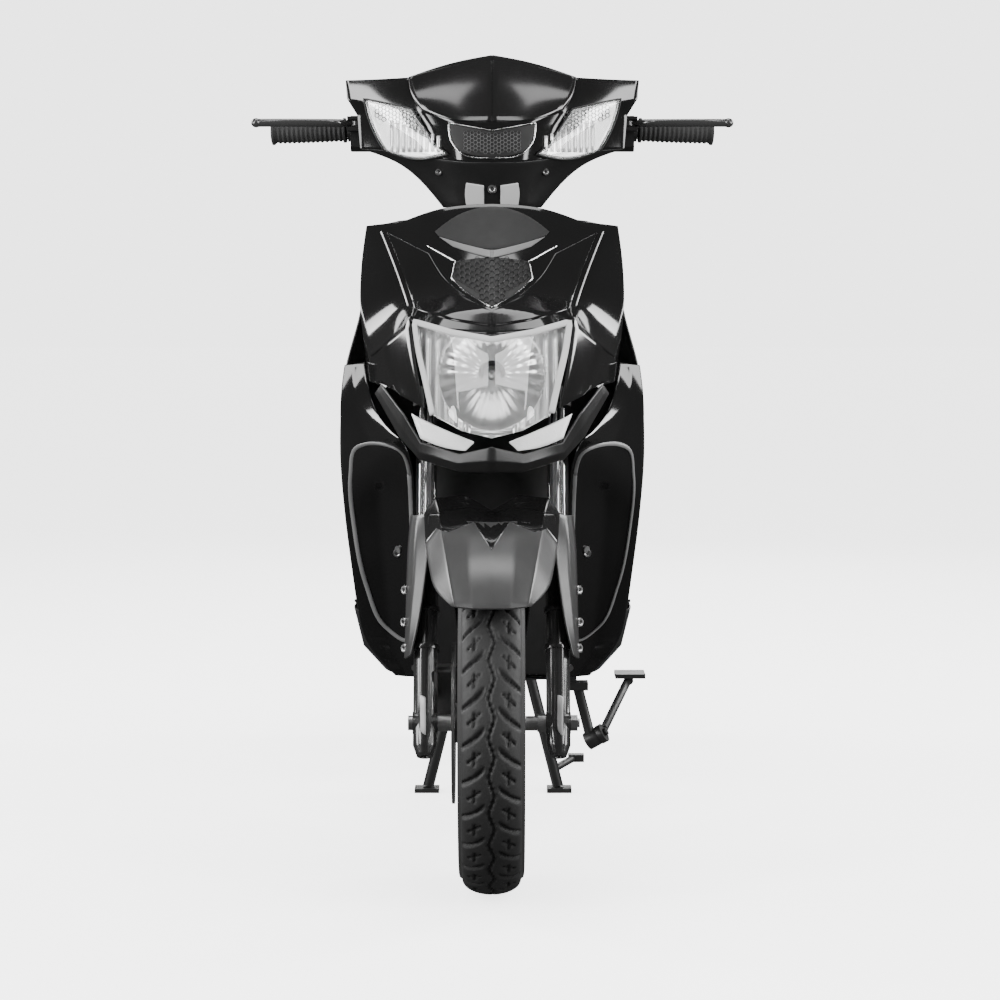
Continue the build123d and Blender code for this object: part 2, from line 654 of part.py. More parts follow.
lamp_back_rows = [
    [(0, 1576, 822), (24, 1575, 822), (40.5, 1571, 822)],
    [(0, 1580, 790), (26, 1579, 790), (44, 1576, 790)],
    [(0, 1580, 756), (26, 1579, 756), (44, 1577, 756)],
    [(0, 1576, 724), (24, 1575, 724), (40.5, 1572, 724)],
]
mudguard_rows = [
    [(0, 1190, 566), (40, 1190, 564), (60, 1190, 540)],
    [(0, 1300, 576), (40, 1300, 574), (60, 1300, 548)],
    [(0, 1420, 562), (40, 1420, 560), (60, 1412, 538)],
    [(0, 1510, 516), (40, 1510, 515), (60, 1498, 498)],
    [(0, 1562, 452), (38, 1562, 452), (56, 1548, 444)],
    [(0, 1580, 400), (34, 1580, 400), (50, 1568, 398)],
]


def floorboard():
    floor = shell_panel(whole(floor_rows), (0, 600, 300))
    ribs = [block(x - 3, x + 3, 450, 770, 333, 337.5) for x in range(-105, 106, 30)]
    for rib in ribs:
        floor += rib
    return floor


def belly_pan():
    """The pan under the floor, with a slot where the side stand's bracket reaches the left rail."""
    return shell_panel(whole(belly_rows), (0, 600, 320)) - block(114, 134, 578, 622, 230, 256)


def battery_pack():
    case = block(-104, 104, 470, 770, 252, 327)
    case = chamfer(case.edges().filter_by(Axis.Y), 8)
    return case


def storage_bucket():
    """The tub under the seat, with a step down at the front, a flange round its mouth and the seat hinge ears."""
    half, inside = bucket_half, bucket_half - panel_wall
    outer = block(-half, half, 832, 1230, 585, 706) + block(-half, half, 832, 1030, 450, 590)
    inner = block(-inside, inside, 835, 1227, 588, 710) + block(-inside, inside, 835, 1027, 453, 592)
    flange = block(-126, 126, 826, 1130, 703, 706) + block(-half - 2.5, half + 2.5, 1100, 1236, 703, 706)
    tub = outer + flange - inner
    for side in (-1, 1):
        tub += block(*sorted((side * 30, side * 42)), 800, 832, 690, 703)
        tub += block(*sorted((side * 30, side * 42)), 800, 820, 690, 738)
    return tub + cross_bar(4, -40, 40, seat_hinge_station, seat_hinge_height)


def side_cover():
    return shell_panel(side_rows, (40, 1150, 640))


def tail_lamp_lens():
    return shell_panel(whole(lamp_back_rows), (0, 1400, 770), wall=4)


def grab_rail():
    points = [(150, 1320, 832), (136, 1500, 856), (60, 1566, 862), (-60, 1566, 862), (-136, 1500, 856)]
    points += [(-150, 1320, 832)]
    rail = bent_tube(points, 10, 30)
    deck = [(-100, 1478), (100, 1478), (96, 1530), (46, 1568), (-46, 1568), (-96, 1530)]
    face = Face(Wire.make_polygon([Vector(x, y, 827) for x, y in deck], close=True))
    rail += Solid.extrude(face, Vector(0, 0, 5))
    for side in (-1, 1):
        rail += block(*sorted((side * 36, side * 52)), 1500, 1562, 826, 860)
        rail += rod((side * 44, 1510, 745 + seat_on), (side * 44, 1510, 830), 9)
    return rail


def rear_mudguard():
    guard = shell_panel(whole(mudguard_rows), (0, 1290, 300))
    plate = block(-50, 50, 1574, 1578, 402, 440)
    return guard + plate


# Frame ---------------------------------------------------------------------------------------------------------------
swing_shaft_radius = 10.0
stand_pin_radius = 8.0
floor_under = 332.0
bucket_rail_radius = 10.0
bucket_half = 93.0
bucket_rail_height = 703.0 - seat_on - bucket_rail_radius


def main_frame():
    """Head tube, down tube, floor rails that rise to carry the seat and the shocks, and the brackets on them."""
    frame = rod((0, 0, head_low), (0, 0, head_high), head_radius).moved(steering)
    down_tube = [(0, 290, 716), (0, 322, 600), (0, 362, 400), (0, 400, rail_height + 10)]
    frame += bent_tube(down_tube, down_tube_radius, 90)
    frame += rod((0, 328.6, 400), (0, 350, 400), 4) + rod((0, 345, 500), (0, 366.4, 500), 8)
    frame += cross_bar(rail_radius, -rail_half_spacing, rail_half_spacing, 400, rail_height)
    for side in (-1, 1):
        x = side * rail_half_spacing
        rail = [(x, 400, rail_height), (x, 800, rail_height), (x, 925, 320), (x, 1000, 560)]
        rail += [(side * 118, 1170, 700), (side * 84, 1510, 734)]
        frame += bent_tube(rail, rail_radius, 60)
        frame += rod((side * 112, 1190, 600), (side * 150, 1190, 600), 7)
        frame += block(*sorted((side * 106, side * 112)), 1174, 1206, 586, 716)
        frame += block(*sorted((side * 74, side * 80)), 846, 878, 195, rail_height)
        frame += block(*sorted((side * 118, side * 130)), 484, 500, rail_height, floor_under - seat_on)
        frame += block(*sorted((side * 118, side * 130)), 740, 756, rail_height, floor_under - seat_on)
        frame += block(*sorted((side * (104 + seat_on), side * 128)), 520, 540, rail_height, 276)
        frame += block(*sorted((side * (104 + seat_on), side * 128)), 700, 720, rail_height, 276)
        run = bucket_half + free + bucket_rail_radius
        post = [(side * 112, 815, rail_height), (side * run, 815, 420), (side * run, 815, bucket_rail_height)]
        post += [(side * 110, 1160, bucket_rail_height)]
        frame += bent_tube(post, bucket_rail_radius, 30)
        frame += rod((side * 104, 931.6, 692), (side * 152.4, 931.6, 692), 6)
    frame += block(-rail_half_spacing, rail_half_spacing, 850, 874, rail_height - 12, rail_height + 12)
    frame += cross_bar(rail_radius - 2, -86, 86, 1510, 733)
    frame += cross_bar(rail_radius - 2, -112, 112, 1262, 709)
    frame += block(-16, 16, 1254, 1270, 573.7, 709)
    frame += cross_bar(swing_shaft_radius, -rail_half_spacing, rail_half_spacing, *swing_pivot)
    frame += cross_bar(stand_pin_radius, -79, 79, stand_pivot_station, stand_pivot_height)
    frame -= rod((0, 0, head_low - 5), (0, 0, head_high + 5), head_bore).moved(steering)
    return frame


swing_pivot = (swing_pivot_station, swing_pivot_height)
arm_inner = 92.0


def swingarm():
    pivot = cross_bar(20, -104, 104, *swing_pivot)
    arm = pivot + cross_bar(16, -100, 100, 985, 288)
    axle = (wheelbase, rear_axle_height)
    outline = [(900, 322), (1000, 312), (1250, 276), (1312, 262), (1312, 224), (1250, 232), (1000, 262), (900, 278)]
    for side in (-1, 1):
        x = side * arm_inner
        corners = [Vector(x, y, z) for y, z in outline]
        plate = Solid.extrude(Face(Wire.make_polygon(corners, close=True)), Vector(side * 12, 0, 0))
        lug = block(*sorted((side * 92, side * 104)), 1230, 1260, 240, 282)
        pin = rod((side * 100, *shock_foot), (side * 146, *shock_foot), 6)
        arm += plate + lug + pin
    arm -= cross_bar(swing_shaft_radius + running, -130, 130, *swing_pivot)
    arm -= cross_bar(rear_axle_radius + 0.02, -130, 130, *axle)
    return arm


def shock_axis(distance):
    """A point on the left shock's axis, at a distance below its upper eye."""
    top = Vector(shock_half_spacing, *shock_top)
    foot = Vector(shock_half_spacing, *shock_foot)
    way = (foot - top).normalized()
    return tuple(top + way * distance)


shock_length = math.hypot(shock_foot[0] - shock_top[0], shock_foot[1] - shock_top[1])


def shock_bodies():
    eye = rod((116, *shock_top), (138, *shock_top), 14)
    body = eye + rod(shock_axis(18), shock_axis(190), 17) + rod(shock_axis(48), shock_axis(56), 27)
    body -= rod(shock_axis(42), shock_axis(191), 12)
    return both(body - rod((110, *shock_top), (145, *shock_top), 7 + running))


def shock_rods():
    eye = rod((116, *shock_foot), (138, *shock_foot), 14)
    body = eye + rod(shock_axis(112), shock_axis(shock_length - 8), 7)
    body += rod(shock_axis(shock_length - 44), shock_axis(shock_length - 36), 27)
    return both(body - rod((110, *shock_foot), (145, *shock_foot), 6 + running))


def shock_springs():
    return both(rod(shock_axis(56 + seat_on), shock_axis(shock_length - 44 - seat_on), 25, 19))


# Stands --------------------------------------------------------------------------------------------------------------
def centre_stand():
    pivot = (stand_pivot_station, stand_pivot_height)
    tube = cross_bar(13, -73.4, 73.4, *pivot)
    stand = tube
    for side in (-1, 1):
        stand += rod((side * 56, *pivot), (side * 106, 842, 8), 9)
        stand += block(*sorted((side * 88, side * 128)), 820, 862, 0, 7)
    stand += rod((-84, 852, 105), (84, 852, 105), 7)
    stand += rod((100, 845, 36), (134, 900, 46), 6) + block(124, 150, 890, 912, 40, 52)
    return stand - cross_bar(stand_pin_radius + running, -90, 90, *pivot)


side_pivot = Vector(166, 600, 128)
side_axis = Vector(-0.8365, 0.2241, -0.5).normalized()
side_foot = Vector(218, 760, 196)


def along_side_axis(start, end, radius):
    """A round piece on the side stand's pivot axis, between two distances from the pivot."""
    return rod(tuple(side_pivot + side_axis * start), tuple(side_pivot + side_axis * end), radius)


def side_stand_bracket():
    """The cast bracket that hangs from the left rail, with the pivot bolt of the side stand."""
    lug = along_side_axis(seat_on, 22, 14) + along_side_axis(0, -14, 4) + along_side_axis(-9.4, -14, 6)
    neck = rod(tuple(side_pivot + side_axis * 15), (132, 600, 204), 8)
    arm = block(118, 148, 582, 618, 200, 212) + block(118, 130, 584, 616, 206, rail_height - rail_radius - seat_on)
    return lug + neck + arm


def side_stand():
    """The folded side stand, with the pad that the rider's foot pushes."""
    reach = side_foot - side_pivot
    out = (reach - side_axis * reach.dot(side_axis)).normalized()
    start = side_pivot - side_axis * 7.2 + out * 14
    stand = along_side_axis(0, -9, 15) + rod(tuple(start), tuple(side_foot), 6.5)
    stand -= along_side_axis(5, -20, 4 + running) + along_side_axis(-9.0, -20, 6.4)
    return stand + block(196, 244, 740, 800, 198, 205) + rod((218, 752, 193), (218, 790, 198), 7)


# Seat ----------------------------------------------------------------------------------------------------------------
seat_sections = [
    (824, 62, 738, 752),
    (850, 104, 738, 766),
    (960, 134, 740, 771),
    (1080, 142, 744, 776),
    (1130, 144, 748, 798),
    (1190, 144, 753, 816),
    (1350, 138, 778, 823),
    (1430, 116, 792, 824),
    (1468, 70, 799, 818),
]


def seat_cushion():
    rings = []
    for y, half, low, high in seat_sections:
        rise = high - low
        side = [(half * 0.93, low), (half, low + rise * 0.4), (half * 0.94, high - rise * 0.16), (half * 0.6, high)]
        rings.append([(x, y, z) for x, z in side] + [(-x, y, z) for x, z in reversed(side)])
    return ring_solid(rings)


def seat_pan():
    rings = []
    for y, half, low, _ in seat_sections:
        wide = half * 0.93 - 4
        rings.append([(wide, y, low - 6), (wide, y, low - 0.6), (-wide, y, low - 0.6), (-wide, y, low - 6)])
    pan = ring_solid(rings)
    knuckle = cross_bar(8, -29.6, 29.6, seat_hinge_station, seat_hinge_height)
    web = block(-29.6, 29.6, seat_hinge_station, 850, 729, 735)
    return pan + knuckle + web - cross_bar(4 + running, -30, 30, seat_hinge_station, seat_hinge_height)


# Small controls and fasteners ----------------------------------------------------------------------------------------
def ignition_key():
    barrel = rod((-110, 352, 740), (-110, 385, 740), 11)
    blade = block(-121, -99, 385, 404, 738, 742)
    return barrel + blade


screw_radius = 2.5


def facet_screws(rows, row, weights):
    """A screw and its hole on one facet of a panel's first column, placed by the weights of its three corners."""
    corners = [Vector(*rows[row][0]), Vector(*rows[row + 1][0]), Vector(*rows[row + 1][1])]
    place = sum((c * w for c, w in zip(corners, weights)), Vector())
    out = (corners[1] - corners[0]).cross(corners[2] - corners[0]).normalized()
    out = out if out.Y < 0 else out * -1
    shank = rod(tuple(place + out), tuple(place - out * 14), screw_radius)
    head = rod(tuple(place + out * seat_on), tuple(place + out * 3), 5.5)
    hole = rod(tuple(place + out * 5), tuple(place - out * 16), screw_radius + free)
    return shank + head, hole


shield_screws = [facet_screws(shield_rows, 4, (0.15, 0.35, 0.5)), facet_screws(shield_rows, 7, (0.3, 0.3, 0.4))]


def body_screws():
    return [piece for screw, _ in shield_screws for piece in both(screw)]


def leg_shield():
    shield = shell_panel(shield_rows, shield_inside)
    for _, hole in shield_screws:
        shield -= hole
    return shield


def write(name, shapes):
    """Move a sub-part's solids to the row's frame and write them as one STEP file."""
    pieces = shapes if isinstance(shapes, (list, tuple)) else [shapes]
    solids = [s.moved(Location((0, front_axle_y, 0))) for piece in pieces for s in piece.solids()]
    export_step(Compound(children=solids), f"parts/{name}.step")
    print(name, len(solids), flush=True)


os.makedirs("parts", exist_ok=True)
makers = [main_frame, steering_bearings, nose_panel, nose_grille, headlamp_housing, front_lamp_lenses, beak_trim]
makers += [inner_leg_shield, splash_guard, floorboard, belly_pan, battery_pack, storage_bucket, tail_lamp_lens]
makers += [grab_rail, rear_mudguard, steering_stem, fork_stanchions, handlebar, handlebar_front_cowl]
makers += [handlebar_rear_cowl, windscreen_visor, indicator_lenses, cowl_grille, dash_display, left_grip]
makers += [fork_lower_legs, front_fender, front_axle, brake_caliper, front_rim, brake_disc, front_wheel_bearings, swingarm]
makers += [rear_axle, rear_hub_motor, shock_bodies, shock_rods, shock_springs, centre_stand, side_stand]
makers += [seat_cushion, seat_pan, throttle_grip, ignition_key, body_screws, side_stand_bracket]
for maker in makers:
    write(maker.__name__, maker())
write("leg_shield_left", leg_shield())
write("leg_shield_right", mirror(leg_shield(), about=Plane.YZ))
write("side_cover_left", side_cover())
write("side_cover_right", mirror(side_cover(), about=Plane.YZ))
write("left_switch_housing", switch_housing(1))
write("right_switch_housing", switch_housing(-1))
left_lever = brake_lever()
write("brake_lever_left", left_lever)
write("brake_lever_right", mirror(left_lever, about=Plane.YZ))
write("horn_button", button(1, 180, 6, 3))
write("turn_switch", button(1, 198, 5, 4))
write("power_switch", button(-1, 180, 6, 3))
write("front_tyre", tyre(0, tyre_radius))
write("rear_tyre", tyre(wheelbase, rear_axle_height))
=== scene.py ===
"""The looks of a step-through electric moped scooter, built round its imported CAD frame.

Panel points are (x, y, z) in millimetres: x to the rider's left, y rearwards from the front axle, and z up
from the floor. Function `at` turns them into the row frame.
"""

import math

import bpy
import numpy as np
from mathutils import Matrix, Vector
from mathutils.bvhtree import BVHTree


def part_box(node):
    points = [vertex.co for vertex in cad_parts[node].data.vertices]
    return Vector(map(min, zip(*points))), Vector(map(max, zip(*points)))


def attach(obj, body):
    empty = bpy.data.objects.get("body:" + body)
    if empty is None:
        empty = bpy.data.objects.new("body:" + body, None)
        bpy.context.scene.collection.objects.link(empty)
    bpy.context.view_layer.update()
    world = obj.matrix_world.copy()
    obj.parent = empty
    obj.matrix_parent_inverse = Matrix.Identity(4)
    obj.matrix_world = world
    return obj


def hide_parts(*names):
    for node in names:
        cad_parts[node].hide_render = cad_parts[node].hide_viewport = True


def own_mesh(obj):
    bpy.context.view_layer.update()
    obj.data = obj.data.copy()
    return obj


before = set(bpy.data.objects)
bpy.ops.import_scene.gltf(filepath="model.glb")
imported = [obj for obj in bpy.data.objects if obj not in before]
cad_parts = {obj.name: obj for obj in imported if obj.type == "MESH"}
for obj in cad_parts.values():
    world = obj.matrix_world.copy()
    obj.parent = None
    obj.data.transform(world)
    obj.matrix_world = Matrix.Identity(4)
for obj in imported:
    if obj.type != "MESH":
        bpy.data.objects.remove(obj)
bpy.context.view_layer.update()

MM = 0.001
axle_low, axle_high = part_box("front_axle")
axle_y = (axle_low.y + axle_high.y) / 2
wheel_radius = 0.233
rear_low, rear_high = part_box("rear_tyre")
rear_wheel_y, rear_wheel_z = (rear_low.y + rear_high.y) / 2, (rear_low.z + rear_high.z) / 2


def at(x, y, z):
    return Vector((x * MM, y * MM + axle_y, z * MM))


# Materials ---
materials = {}


def dial(node, values):
    for name, value in values.items():
        node.inputs[name].default_value = value


def finish(name, base, rough, metal=0.0, coat=0.0, grain=0.0, grain_scale=300.0, spread=0.08, cloud=9.0,
           glass=0.0, sheen=0.0, glow=0.0):
    """A procedural finish: cloudy colour and roughness, and a fine grain that dents the surface.

    The base is a colour, or one number for a grey.
    """
    colour = (base, base, base) if isinstance(base, float) else base
    made = bpy.data.materials.new(name)
    made.use_nodes = True
    nodes, links = made.node_tree.nodes, made.node_tree.links
    shader = nodes["Principled BSDF"]
    place = nodes.new("ShaderNodeTexCoord")
    clouds = nodes.new("ShaderNodeTexNoise")
    dial(clouds, {"Scale": cloud, "Detail": 5})
    links.new(place.outputs["Object"], clouds.inputs["Vector"])
    shades = nodes.new("ShaderNodeValToRGB")
    dark = [c * (1 - spread) for c in colour]
    light = [min(1, c * (1 + spread)) for c in colour]
    shades.color_ramp.elements[0].color = (*dark, 1)
    shades.color_ramp.elements[1].color = (*light, 1)
    shades.color_ramp.elements[0].position = 0.3
    shades.color_ramp.elements[1].position = 0.7
    links.new(clouds.outputs["Fac"], shades.inputs["Fac"])
    links.new(shades.outputs["Color"], shader.inputs["Base Color"])
    dust = nodes.new("ShaderNodeTexNoise")
    dial(dust, {"Scale": cloud * 6, "Detail": 8})
    links.new(place.outputs["Object"], dust.inputs["Vector"])
    span = nodes.new("ShaderNodeMapRange")
    dial(span, {"To Min": max(0.0, rough * 0.85), "To Max": min(1.0, rough * 1.18)})
    links.new(dust.outputs["Fac"], span.inputs["Value"])
    links.new(span.outputs["Result"], shader.inputs["Roughness"])
    if grain:
        fine = nodes.new("ShaderNodeTexNoise")
        dial(fine, {"Scale": grain_scale, "Detail": 3})
        links.new(place.outputs["Object"], fine.inputs["Vector"])
        dent = nodes.new("ShaderNodeBump")
        dial(dent, {"Strength": grain, "Distance": 0.001})
        links.new(fine.outputs["Fac"], dent.inputs["Height"])
        links.new(dent.outputs["Normal"], shader.inputs["Normal"])
    dial(shader, {"Metallic": metal, "Coat Weight": coat, "Coat Roughness": 0.04,
                  "Transmission Weight": glass, "Sheen Weight": sheen})
    if glow:
        dial(shader, {"Emission Color": (*colour, 1), "Emission Strength": glow})
    materials[name] = made
    return made


finish("frame_paint", 0.01, 0.42, grain=0.08)
finish("steel", 0.5, 0.3, metal=1, grain=0.05, spread=0.12, cloud=40)
finish("gloss_body", 0.006, 0.09, grain=0.004, grain_scale=60)
finish("visor_gloss", 0.008, 0.1, grain=0.003, grain_scale=50)
finish("fender_gloss", 0.028, 0.3, grain=0.05)
finish("satin_trim", 0.008, 0.38, grain=0.15, grain_scale=700)
finish("dark_trim", 0.004, 0.6, grain=0.2, grain_scale=700)
# The grey and pale trims are partly real trim colour and partly painted highlight: the leg-shield rims, the nose's
# edge strips and the fork legs' stripes.
finish("grey_trim_and_highlight", 0.11, 0.4, grain=0.12, grain_scale=600)
finish("pale_trim_and_highlight", 0.42, 0.35, grain=0.1, grain_scale=600)
finish("reflector", 0.8, 0.16, metal=0.6, spread=0.04, grain=0.05)
finish("bulb_cap", 0.25, 0.3, metal=0.8, grain=0.05)
finish("clear_lens", 0.95, 0.02, glass=1, spread=0.01)
finish("pebbled_lens", 0.9, 0.12, glass=0.65, spread=0.04, grain=0.6, grain_scale=420)
finish("red_lens", (0.32, 0.01, 0.008), 0.12, coat=1, grain=0.05)
finish("display_glass", 0.01, 0.05, coat=1, grain=0.01)
finish("battery_case", 0.05, 0.5, grain=0.25, grain_scale=500)
finish("chrome_tube", 0.62, 0.12, metal=1, spread=0.05, grain=0.02)
finish("fork_paint", 0.014, 0.22, coat=0.6, grain=0.03)
finish("cast_bracket", 0.12, 0.5, metal=0.6, grain=0.4, grain_scale=350, spread=0.2)
finish("caliper_paint", 0.03, 0.35, grain=0.15)
finish("disc_steel", 0.55, 0.25, metal=1, grain=0.1, grain_scale=900, spread=0.1, cloud=60)
finish("rim_paint", 0.02, 0.3, coat=0.4, grain=0.03)
finish("tyre_rubber", 0.011, 0.6, grain=0.35, grain_scale=500, spread=0.2, cloud=25)
finish("spring_paint", 0.03, 0.25, coat=0.6, grain=0.04)
finish("seat_vinyl", 0.014, 0.5, grain=0.55, grain_scale=380, spread=0.15, sheen=0.15)
finish("grip_rubber", 0.02, 0.68, grain=0.4, grain_scale=600)
finish("lever_gloss", 0.025, 0.2, coat=0.7, grain=0.02)
finish("button_plastic", 0.06, 0.4, grain=0.15, grain_scale=800)
finish("red_button", (0.3, 0.015, 0.01), 0.35, grain=0.15, grain_scale=800)


# Mesh helpers ---
def smooth_line(points, steps, corners=()):
    """Points on a line through all the given ones, smooth except at the numbered corners."""
    pts = [np.asarray(p, float) for p in points]
    last = len(pts) - 1

    def heading(i):
        if i in corners or i in (0, last):
            return None
        a, b = pts[i] - pts[i - 1], pts[i + 1] - pts[i]
        la, lb = np.linalg.norm(a) + 1e-9, np.linalg.norm(b) + 1e-9
        return (a / la * lb + b / lb * la) / (la + lb)

    line = []
    for i in range(last):
        length = np.linalg.norm(pts[i + 1] - pts[i]) + 1e-9
        straight = (pts[i + 1] - pts[i]) / length
        start, end = heading(i), heading(i + 1)
        if start is None:
            start = straight if end is None else 1.5 * straight - 0.5 * end
        if end is None:
            end = 1.5 * straight - 0.5 * start
        for k in range(steps):
            t = k / steps
            t2, t3 = t * t, t * t * t
            line.append(pts[i] * (2 * t3 - 3 * t2 + 1) + pts[i + 1] * (3 * t2 - 2 * t3)
                        + (start * (t3 - 2 * t2 + t) + end * (t3 - t2)) * length)
    line.append(pts[last])
    return line


def whole(rows):
    """Rows from the middle outwards, continued across the middle plane."""
    return [[(-p[0], *p[1:]) for p in reversed(row[1:])] + list(row) for row in rows]


def flipped(rows):
    return [[(-p[0], *p[1:]) for p in row] for row in rows]


def refine(rows, steps=(6, 6), across=(), down=()):
    """A dense grid through the rows' points; `across` and `down` number the points that stay sharp."""
    wide = [smooth_line(row, steps[0], across) for row in rows]
    columns = [smooth_line([row[k] for row in wide], steps[1], down) for k in range(len(wide[0]))]
    return [[column[i] for column in columns] for i in range(len(columns[0]))]


def add_object(name, data):
    made = bpy.data.objects.new(name, data)
    bpy.context.scene.collection.objects.link(made)
    return made


def mesh_piece(name, points, faces, material):
    mesh = bpy.data.meshes.new(name)
    mesh.from_pydata([tuple(p) for p in points], [], faces)
    mesh.validate()
    for face in mesh.polygons:
        face.use_smooth = True
    made = add_object(name, mesh)
    mesh.materials.append(materials[material])
    return made


def settle(piece, body, nodes=()):
    """Puts a finished piece on the body it rides on and hides the CAD nodes it stands for."""
    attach(piece, body)
    if nodes:
        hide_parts(*nodes)
    return piece


def grid_faces(rows, columns, closed_rows=False, closed_columns=False):
    faces = []
    for i in range(rows if closed_rows else rows - 1):
        for j in range(columns if closed_columns else columns - 1):
            a, b = i * columns + j, i * columns + (j + 1) % columns
            c, d = (i + 1) % rows * columns + (j + 1) % columns, (i + 1) % rows * columns + j
            faces.append((a, d, c, b))
    return faces


def facing(points, faces, hint):
    """The faces, turned so that together they look along the hint."""
    total = Vector((0, 0, 0))
    for a, b, c, d in faces:
        total += (points[c] - points[a]).cross(points[d] - points[b])
    return faces if total.dot(Vector(hint)) > 0 else [tuple(reversed(f)) for f in faces]


def round_edges(piece, width, sharp_angle):
    edge = piece.modifiers.new("edge", "BEVEL")
    edge.width = width * MM
    edge.segments = 2
    edge.limit_method = "ANGLE"
    edge.angle_limit = math.radians(sharp_angle)
    return edge


def shell(piece, wall, soft=0.8):
    """Gives a skin its wall, inwards, and rounds its edges."""
    solid = piece.modifiers.new("wall", "SOLIDIFY")
    solid.thickness = wall * MM
    solid.offset = -1
    if soft:
        round_edges(piece, soft, 42)
    return piece


def panel(name, rows, body, slot, nodes=(), material=None, hint=(0, -1, 0), wall=3.0, steps=(6, 6), across=(),
          down=(), soft=0.8):
    """A smooth panel through rows of points, with a wall and soft edges."""
    dense = refine(rows, steps, across, down)
    points = [at(*p) for row in dense for p in row]
    faces = facing(points, grid_faces(len(dense), len(dense[0])), hint)
    piece = shell(mesh_piece(name, points, faces, material or slot), wall, soft)
    return settle(piece, body, nodes)


def span(rows, top, bottom, left, right, name, body, slot, nodes=(), material=None, hint=(0, -1, 0), lift=1.2,
         wall=2.0, steps=(8, 6), across=(), down=(), soft=0.6):
    """A panel over part of another panel's skin, between the numbered rows and columns."""
    dense = refine(rows, steps, across, down)
    part = [row[left * steps[0]:right * steps[0] + 1] for row in dense[top * steps[1]:bottom * steps[1] + 1]]
    points = [at(*p) for row in part for p in row]
    faces = facing(points, grid_faces(len(part), len(part[0])), hint)
    piece = mesh_piece(name, points, faces, material or slot)
    normals = [vertex.normal.copy() for vertex in piece.data.vertices]
    for vertex, normal in zip(piece.data.vertices, normals):
        vertex.co += normal * lift * MM
    shell(piece, wall, soft)
    return settle(piece, body, nodes)


def skin_of(*row_sets, steps=(8, 8), across=(), down=()):
    """Something to lay trim on: the skins through the given rows."""
    points, faces = [], []
    for rows in row_sets:
        dense = refine(rows, steps, across, down)
        start = len(points)
        points += [at(*p) for row in dense for p in row]
        faces += [tuple(start + k for k in f) for f in grid_faces(len(dense), len(dense[0]))]
    return BVHTree.FromPolygons(points, faces)


def onto(skin, x, z, lift=0.0):
    """The point of a skin seen from the front at (x, z), brought forward by a lift."""
    hit = skin.ray_cast(Vector((x * MM, -5, z * MM)), Vector((0, 1, 0)))[0]
    if hit is None:
        hit = skin.find_nearest(Vector((x * MM, axle_y, z * MM)))[0]
    return hit + Vector((0, -lift * MM, 0))


def patch(name, rows, skin, body, slot, nodes=(), material=None, lift=1.2, wall=2.0, steps=(6, 6), across=(),
          down=(), soft=0.5):
    """A thin overlay with its own outline, laid on a skin; its rows are (x, z) points seen from the front."""
    dense = refine(rows, steps, across, down)
    points = [onto(skin, p[0], p[1], lift) for row in dense for p in row]
    faces = facing(points, grid_faces(len(dense), len(dense[0])), (0, -1, 0))
    piece = shell(mesh_piece(name, points, faces, material or slot), wall, soft)
    return settle(piece, body, nodes)


def tube(name, points, radius, body, slot, nodes=(), material=None, closed=False, sides=10, flat=1.0):
    """A round bar, or a flattened one, swept along points in the row frame."""
    pts = [Vector(p) for p in points]
    count = len(pts)
    rings, normal = [], None
    for i, p in enumerate(pts):
        before = pts[i - 1] if i or closed else p
        after = pts[(i + 1) % count] if i + 1 < count or closed else p
        way = (after - before).normalized()
        if normal is None:
            normal = way.orthogonal().normalized()
        normal = (normal - way * normal.dot(way)).normalized()
        side = way.cross(normal)
        r = radius(i / (count - 1)) if callable(radius) else radius
        turns = [2 * math.pi * k / sides for k in range(sides)]
        rings.append([p + (normal * math.cos(t) * flat + side * math.sin(t)) * r * MM for t in turns])
    verts = [v for ring in rings for v in ring]
    faces = grid_faces(count, sides, closed, True)
    if not closed:
        faces += [tuple(range(sides)), tuple(reversed(range((count - 1) * sides, count * sides)))]
    piece = mesh_piece(name, verts, faces, material or slot)
    return settle(piece, body, nodes)


def bolt(name, centre, way, radius, body, slot="steel", height=4.0, socket=0.5, sides=6):
    """A bolt head with a sunk hexagon, facing `way`."""
    way = Vector(way).normalized()
    normal = way.orthogonal().normalized()
    side = way.cross(normal)
    profile = [(1.0, -1.0), (1.0, 0.55), (0.86, 1.0), (socket * 1.15, 1.0), (socket, 0.9), (socket, 0.2),
               (0.01, 0.2)]
    turns = 24
    verts, rows = [], len(profile)
    for r, h in profile:
        for k in range(turns):
            t = 2 * math.pi * k / turns
            reach = r
            if r <= socket:
                inner = (t % (2 * math.pi / sides)) - math.pi / sides
                reach = r * math.cos(math.pi / sides) / math.cos(inner)
            verts.append(Vector(centre) + (normal * math.cos(t) + side * math.sin(t)) * reach * radius * MM
                         + way * h * height * MM)
    faces = grid_faces(rows, turns, False, True)
    piece = mesh_piece(name, verts, [tuple(reversed(f)) for f in faces], slot)
    for face in piece.data.polygons:
        face.use_smooth = False
    return settle(piece, body)


def hex_net(name, inside, skin, cell, wire, body, material, lift, extent):
    """A honeycomb net over the part of a skin where inside(x, z) holds."""
    verts, faces, index = [], [], {}
    step_x, step_z = cell * 1.5, cell * math.sqrt(3)
    low_x, high_x, low_z, high_z = extent
    columns = range(int(low_x // step_x), int(high_x // step_x) + 2)
    for i in columns:
        for j in range(int(low_z // step_z), int(high_z // step_z) + 2):
            cx, cz = i * step_x, (j + (i % 2) / 2) * step_z
            if not inside(cx, cz):
                continue
            ring = []
            for k in range(6):
                x, z = cx + cell * math.cos(k * math.pi / 3), cz + cell * math.sin(k * math.pi / 3)
                key = (round(x, 2), round(z, 2))
                if key not in index:
                    index[key] = len(verts)
                    verts.append(onto(skin, x, z, lift))
                ring.append(index[key])
            faces.append(tuple(ring))
    piece = mesh_piece(name, verts, faces, material)
    net = piece.modifiers.new("net", "WIREFRAME")
    net.thickness = wire * MM
    net.use_even_offset = False
    return settle(piece, body)


